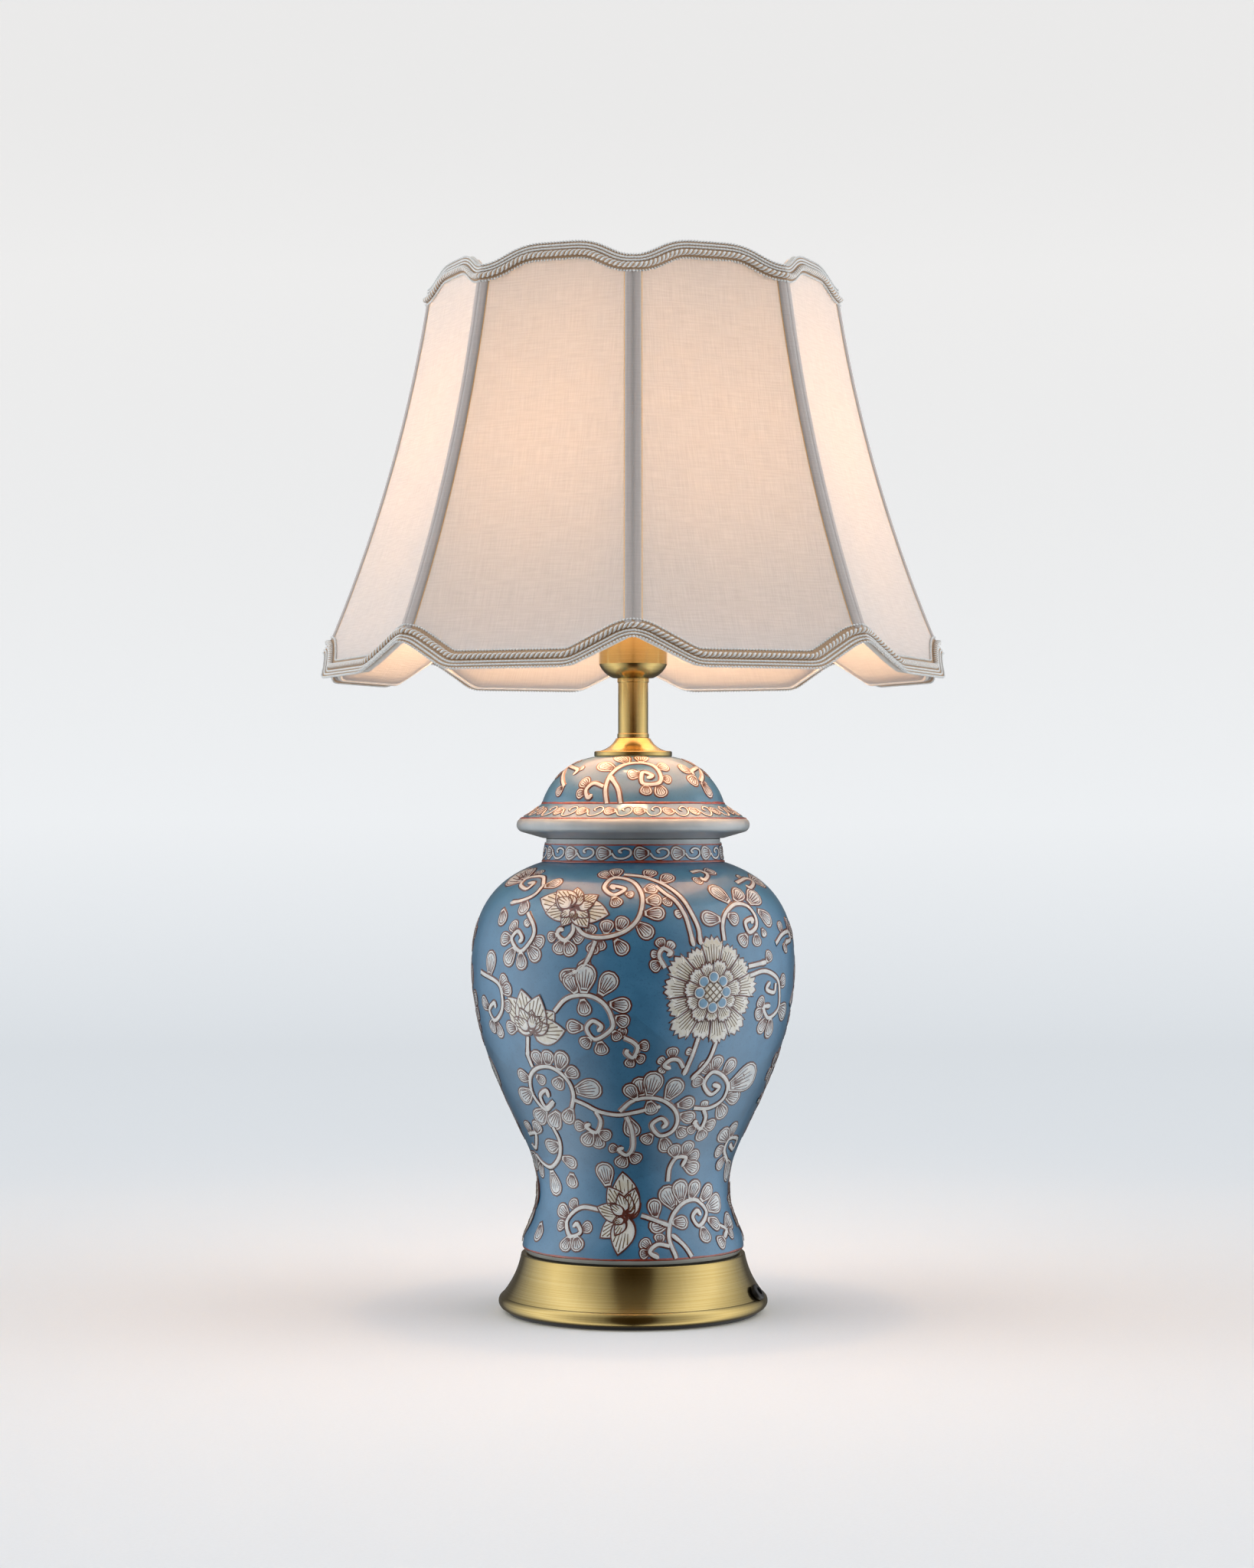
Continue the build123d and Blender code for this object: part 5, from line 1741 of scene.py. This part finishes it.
LID_SCROLLS = {
    "dome_scroll": Scroll(
        LID_FRONT,
        vines=[
            [
                (600, 440), (595, 330), (640, 240), (720, 190), (820, 180), (900, 200), (945, 260),
                (930, 310), (830, 310), (830, 240), (890, 260), (855, 280),
            ],
            [(690, 440), (670, 340), (620, 260)],
            [(580, 330), (520, 310), (470, 350), (480, 400), (510, 380)],
        ],
        tips=[
            (570, 190), (740, 250), (980, 200), (1010, 290), (850, 380), (960, 390), (450, 290),
            (410, 380), (700, 120), (820, 120),
        ],
    ),
    "dome_right": Scroll(
        LID_FRONT,
        vines=[[(1200, 300), (1210, 250), (1180, 210), (1145, 230), (1160, 260)]],
        tips=[(1070, 210), (1140, 310), (1240, 330), (1270, 390), (1110, 150), (1260, 250)],
    ),
    "dome_left": Scroll(
        LID_FRONT,
        vines=[[(330, 330), (320, 260), (360, 200), (410, 220), (385, 260)]],
        tips=[(270, 270), (300, 190), (400, 140), (450, 210), (280, 380)],
    ),
}

# Running borders: repeats round the lamp, width of the vine, and places of one repeat in shares of its
# length and of the border's half-height
COLLAR_REPEATS = 15
COLLAR_VINE = 0.5
BRIM_REPEATS = 22
BRIM_VINE = 0.42
BORDER_LEAF = ((0.44, 0.05), (0.04, -0.05))
BORDER_CURL = (
    (0.44, 0.0), (0.56, -0.55), (0.76, -0.62), (0.93, -0.2),
    (0.92, 0.35), (0.76, 0.55), (0.63, 0.25), (0.72, 0.0),
)

# Lines round the jar and lid: section as for a vine, and waves of the hand that drew them
LINE_STEPS = 240
LINE_SECTION = (
    (-1, -0.1, LINE), (-0.8, 0.22, LINE), (0, 0.28, LINE), (0.8, 0.22, LINE), (1, -0.1, LINE),
)
LINE_WAVES = ((0.12, 3, 0), (0.08, 11, 1))
WIDTH_WAVES = ((0.16, 7, 0), (0.1, 23, 0))


def paint_line(relief, height):
    """Hand-drawn line round the piece, with slightly uneven width."""
    length = relief.skin.length_at(height)
    angles = [2 * pi * step / LINE_STEPS for step in range(LINE_STEPS + 1)]
    line = [(angle, length + waver(LINE_WAVES, angle)) for angle in angles]
    widths = [LINE_HALF_WIDTH * (1 + waver(WIDTH_WAVES, angle)) for angle in angles]
    relief.strip(line, widths, LINE_SECTION)


def paint_border(relief, low, high, repeats, scale):
    """Running scroll: in each repeat a rounded leaf and an S-shaped tendril round it."""
    skin = relief.skin
    middle = (skin.length_at(low) + skin.length_at(high)) / 2
    half = (skin.length_at(high) - skin.length_at(low)) / 2
    period = 2 * pi * skin.radius(middle) / repeats
    for repeat in range(repeats):
        start = (2 * pi * repeat / repeats, middle)

        def spot(along, upward):
            return skin.moved(start, along * period, upward * half)

        base, tip = (spot(*place) for place in BORDER_LEAF)
        add_leaf(relief, base, tip)
        relief.vine(relief.spline([spot(*place) for place in BORDER_CURL]), scale)


def paint_jar():
    """Scrolls and flowers on the front, again on the back, and the collar's border."""
    low, high = span_of("jar")
    skin = Skin("jar", low + JAR_SKIN_MARGIN, high - JAR_SKIN_MARGIN, JAR_SKIN_STEP)
    motifs = JAR_SCROLLS | JAR_FLOWERS
    for side, turn in (("front", 0.0), ("back", pi)):
        relief = Relief(skin, turn)
        for motif in motifs.values():
            motif.paint(relief)
        for name, angle in SIDE_REPEATS.items():
            relief.turn = turn + radians(angle)
            motifs[name].paint(relief)
        relief.finish(f"jar_painting_{side}", "lamp", enamels, "glaze")
    borders = Relief(skin)
    paint_border(borders, COLLAR_LOW_LINE, COLLAR_HIGH_LINE, COLLAR_REPEATS, COLLAR_VINE)
    for height in (FOOT_LINE, COLLAR_LOW_LINE, COLLAR_HIGH_LINE):
        paint_line(borders, height)
    borders.finish("jar_borders", "lamp", enamels, "glaze")


def paint_lid():
    """Scrolls on the front and back of the dome, and the brim's border."""
    low = BRIM_LINE - LID_SKIN_BELOW_BRIM
    high = span_of("lid")[1] - LID_SKIN_MARGIN
    relief = Relief(Skin("lid", low, high, LID_SKIN_STEP))
    for turn in (0.0, pi):
        relief.turn = turn
        for scroll in LID_SCROLLS.values():
            scroll.paint(relief)
    relief.turn = 0.0
    paint_border(relief, BRIM_LINE, DOME_LINE, BRIM_REPEATS, BRIM_VINE)
    for height in (BRIM_LINE, DOME_LINE):
        paint_line(relief, height)
    relief.finish("lid_painting", "lamp", enamels, "glaze")


# Studio and camera

def paper_material():
    """Matt paper that glows a little more the higher it is."""
    material, tree = new_material("paper_sweep")
    place = object_place(tree)
    grain = ramp(tree, noise(tree, place, scale=600.0, detail=2.0), [(0.3, grey(0.98)), (0.7, grey(1))])
    share = calculate(tree, "DIVIDE", height_of(tree, place), PAPER_RISE)
    tone = ramp(tree, share, [(0.0, PAPER_LOW), (1.0, PAPER_HIGH)])
    set_inputs(tree, principled(tree), {
        "Base Color": mix_colour(tree, 1.0, tone, grain, "MULTIPLY"),
        "Emission Color": ramp(tree, share, PAPER_GLOW_STOPS),
        "Emission Strength": PAPER_GLOW,
        "Roughness": 0.9,
    })
    return material


def make_studio():
    """Pale floor that curves up into a backdrop, in metres."""
    half_width = 6.0
    front = -4.0
    turn = 2.2
    radius = 1.6
    top = 4.0
    gap = 0.0002
    steps = 24
    rows = [(front, 0.0), (turn, 0.0)]
    for step in range(1, steps + 1):
        angle = pi / 2 * step / steps
        rows.append((turn + radius * sin(angle), radius * (1 - cos(angle))))
    rows.append((turn + radius, top))
    points = [(side * half_width, y, z - gap) for y, z in rows for side in (-1, 1)]
    starts = range(0, 2 * len(rows) - 2, 2)
    mesh = bpy.data.meshes.new("sweep")
    mesh.from_pydata(points, [], [(start, start + 1, start + 3, start + 2) for start in starts])
    mesh.polygons.foreach_set("use_smooth", [True] * len(starts))
    mesh.materials.append(paper_material())
    sweep = bpy.data.objects.new("sweep", mesh)
    bpy.context.scene.collection.objects.link(sweep)
    sweep.visible_glossy = False
    sweep.visible_diffuse = False


def make_sky():
    """Soft studio light from all round: broad bright sides, a dim front and a soft top."""
    world = bpy.data.worlds.new("studio_sky")
    world.use_nodes = True
    tree = world.node_tree
    direction = shader_node(tree, "TexCoord").outputs["Generated"]
    parts = shader_node(tree, "SeparateXYZ", {"Vector": direction}).outputs
    sideways = calculate(tree, "ABSOLUTE", parts["X"])
    forward = calculate(tree, "MULTIPLY", parts["Y"], -1.0)
    turn = calculate(tree, "ARCTAN2", sideways, forward)
    side = ramp(tree, calculate(tree, "MULTIPLY", turn, 1 / pi), SKY_ROUND)
    top = ramp(tree, parts["Z"], [(0.35, grey(0)), (0.9, SKY_TOP)], "EASE")
    set_inputs(tree, tree.nodes["Background"], {
        "Color": mix_colour(tree, 1.0, side, top, "ADD"),
        "Strength": SKY_STRENGTH,
    })
    bpy.context.scene.world = world


def make_shade_glow():
    """Warm light that the lit lining sends down on the lid, the shoulder and the metalwork."""
    data = bpy.data.lights.new("shade_glow", "AREA")
    data.shape = "DISK"
    data.size = GLOW_DIAMETER
    data.energy = GLOW_POWER
    data.color = GLOW_COLOUR
    glow = bpy.data.objects.new("shade_glow", data)
    glow.location = (0, 0, GLOW_HEIGHT)
    glow.visible_camera = False
    bpy.context.scene.collection.objects.link(glow)


def make_camera():
    """Level camera that was fitted to the photograph's outlines."""
    data = bpy.data.cameras.new("camera")
    data.sensor_width = SENSOR
    data.lens = SENSOR * FOCAL_PIXELS / PHOTO_HEIGHT
    data.shift_x = (PHOTO_WIDTH / 2 - AXIS_COLUMN) / PHOTO_HEIGHT
    data.shift_y = (HORIZON_ROW - PHOTO_HEIGHT / 2) / PHOTO_HEIGHT
    data.clip_end = 50
    camera = bpy.data.objects.new("camera", data)
    camera.location = (0, -CAMERA_DISTANCE * MM, CAMERA_HEIGHT * MM)
    camera.rotation_euler = (pi / 2, 0, 0)
    scene = bpy.context.scene
    scene.collection.objects.link(camera)
    scene.camera = camera
    scene.view_settings.view_transform = "Standard"
    scene.cycles.use_denoising = True


dress_nodes()
make_panels()
make_tapes()
make_lining()
make_braid("lower_braid", "bottom_braid", lower_edge)
make_braid("upper_braid", "top_braid", upper_edge)
paint_jar()
paint_lid()
make_studio()
make_sky()
make_shade_glow()
make_camera()
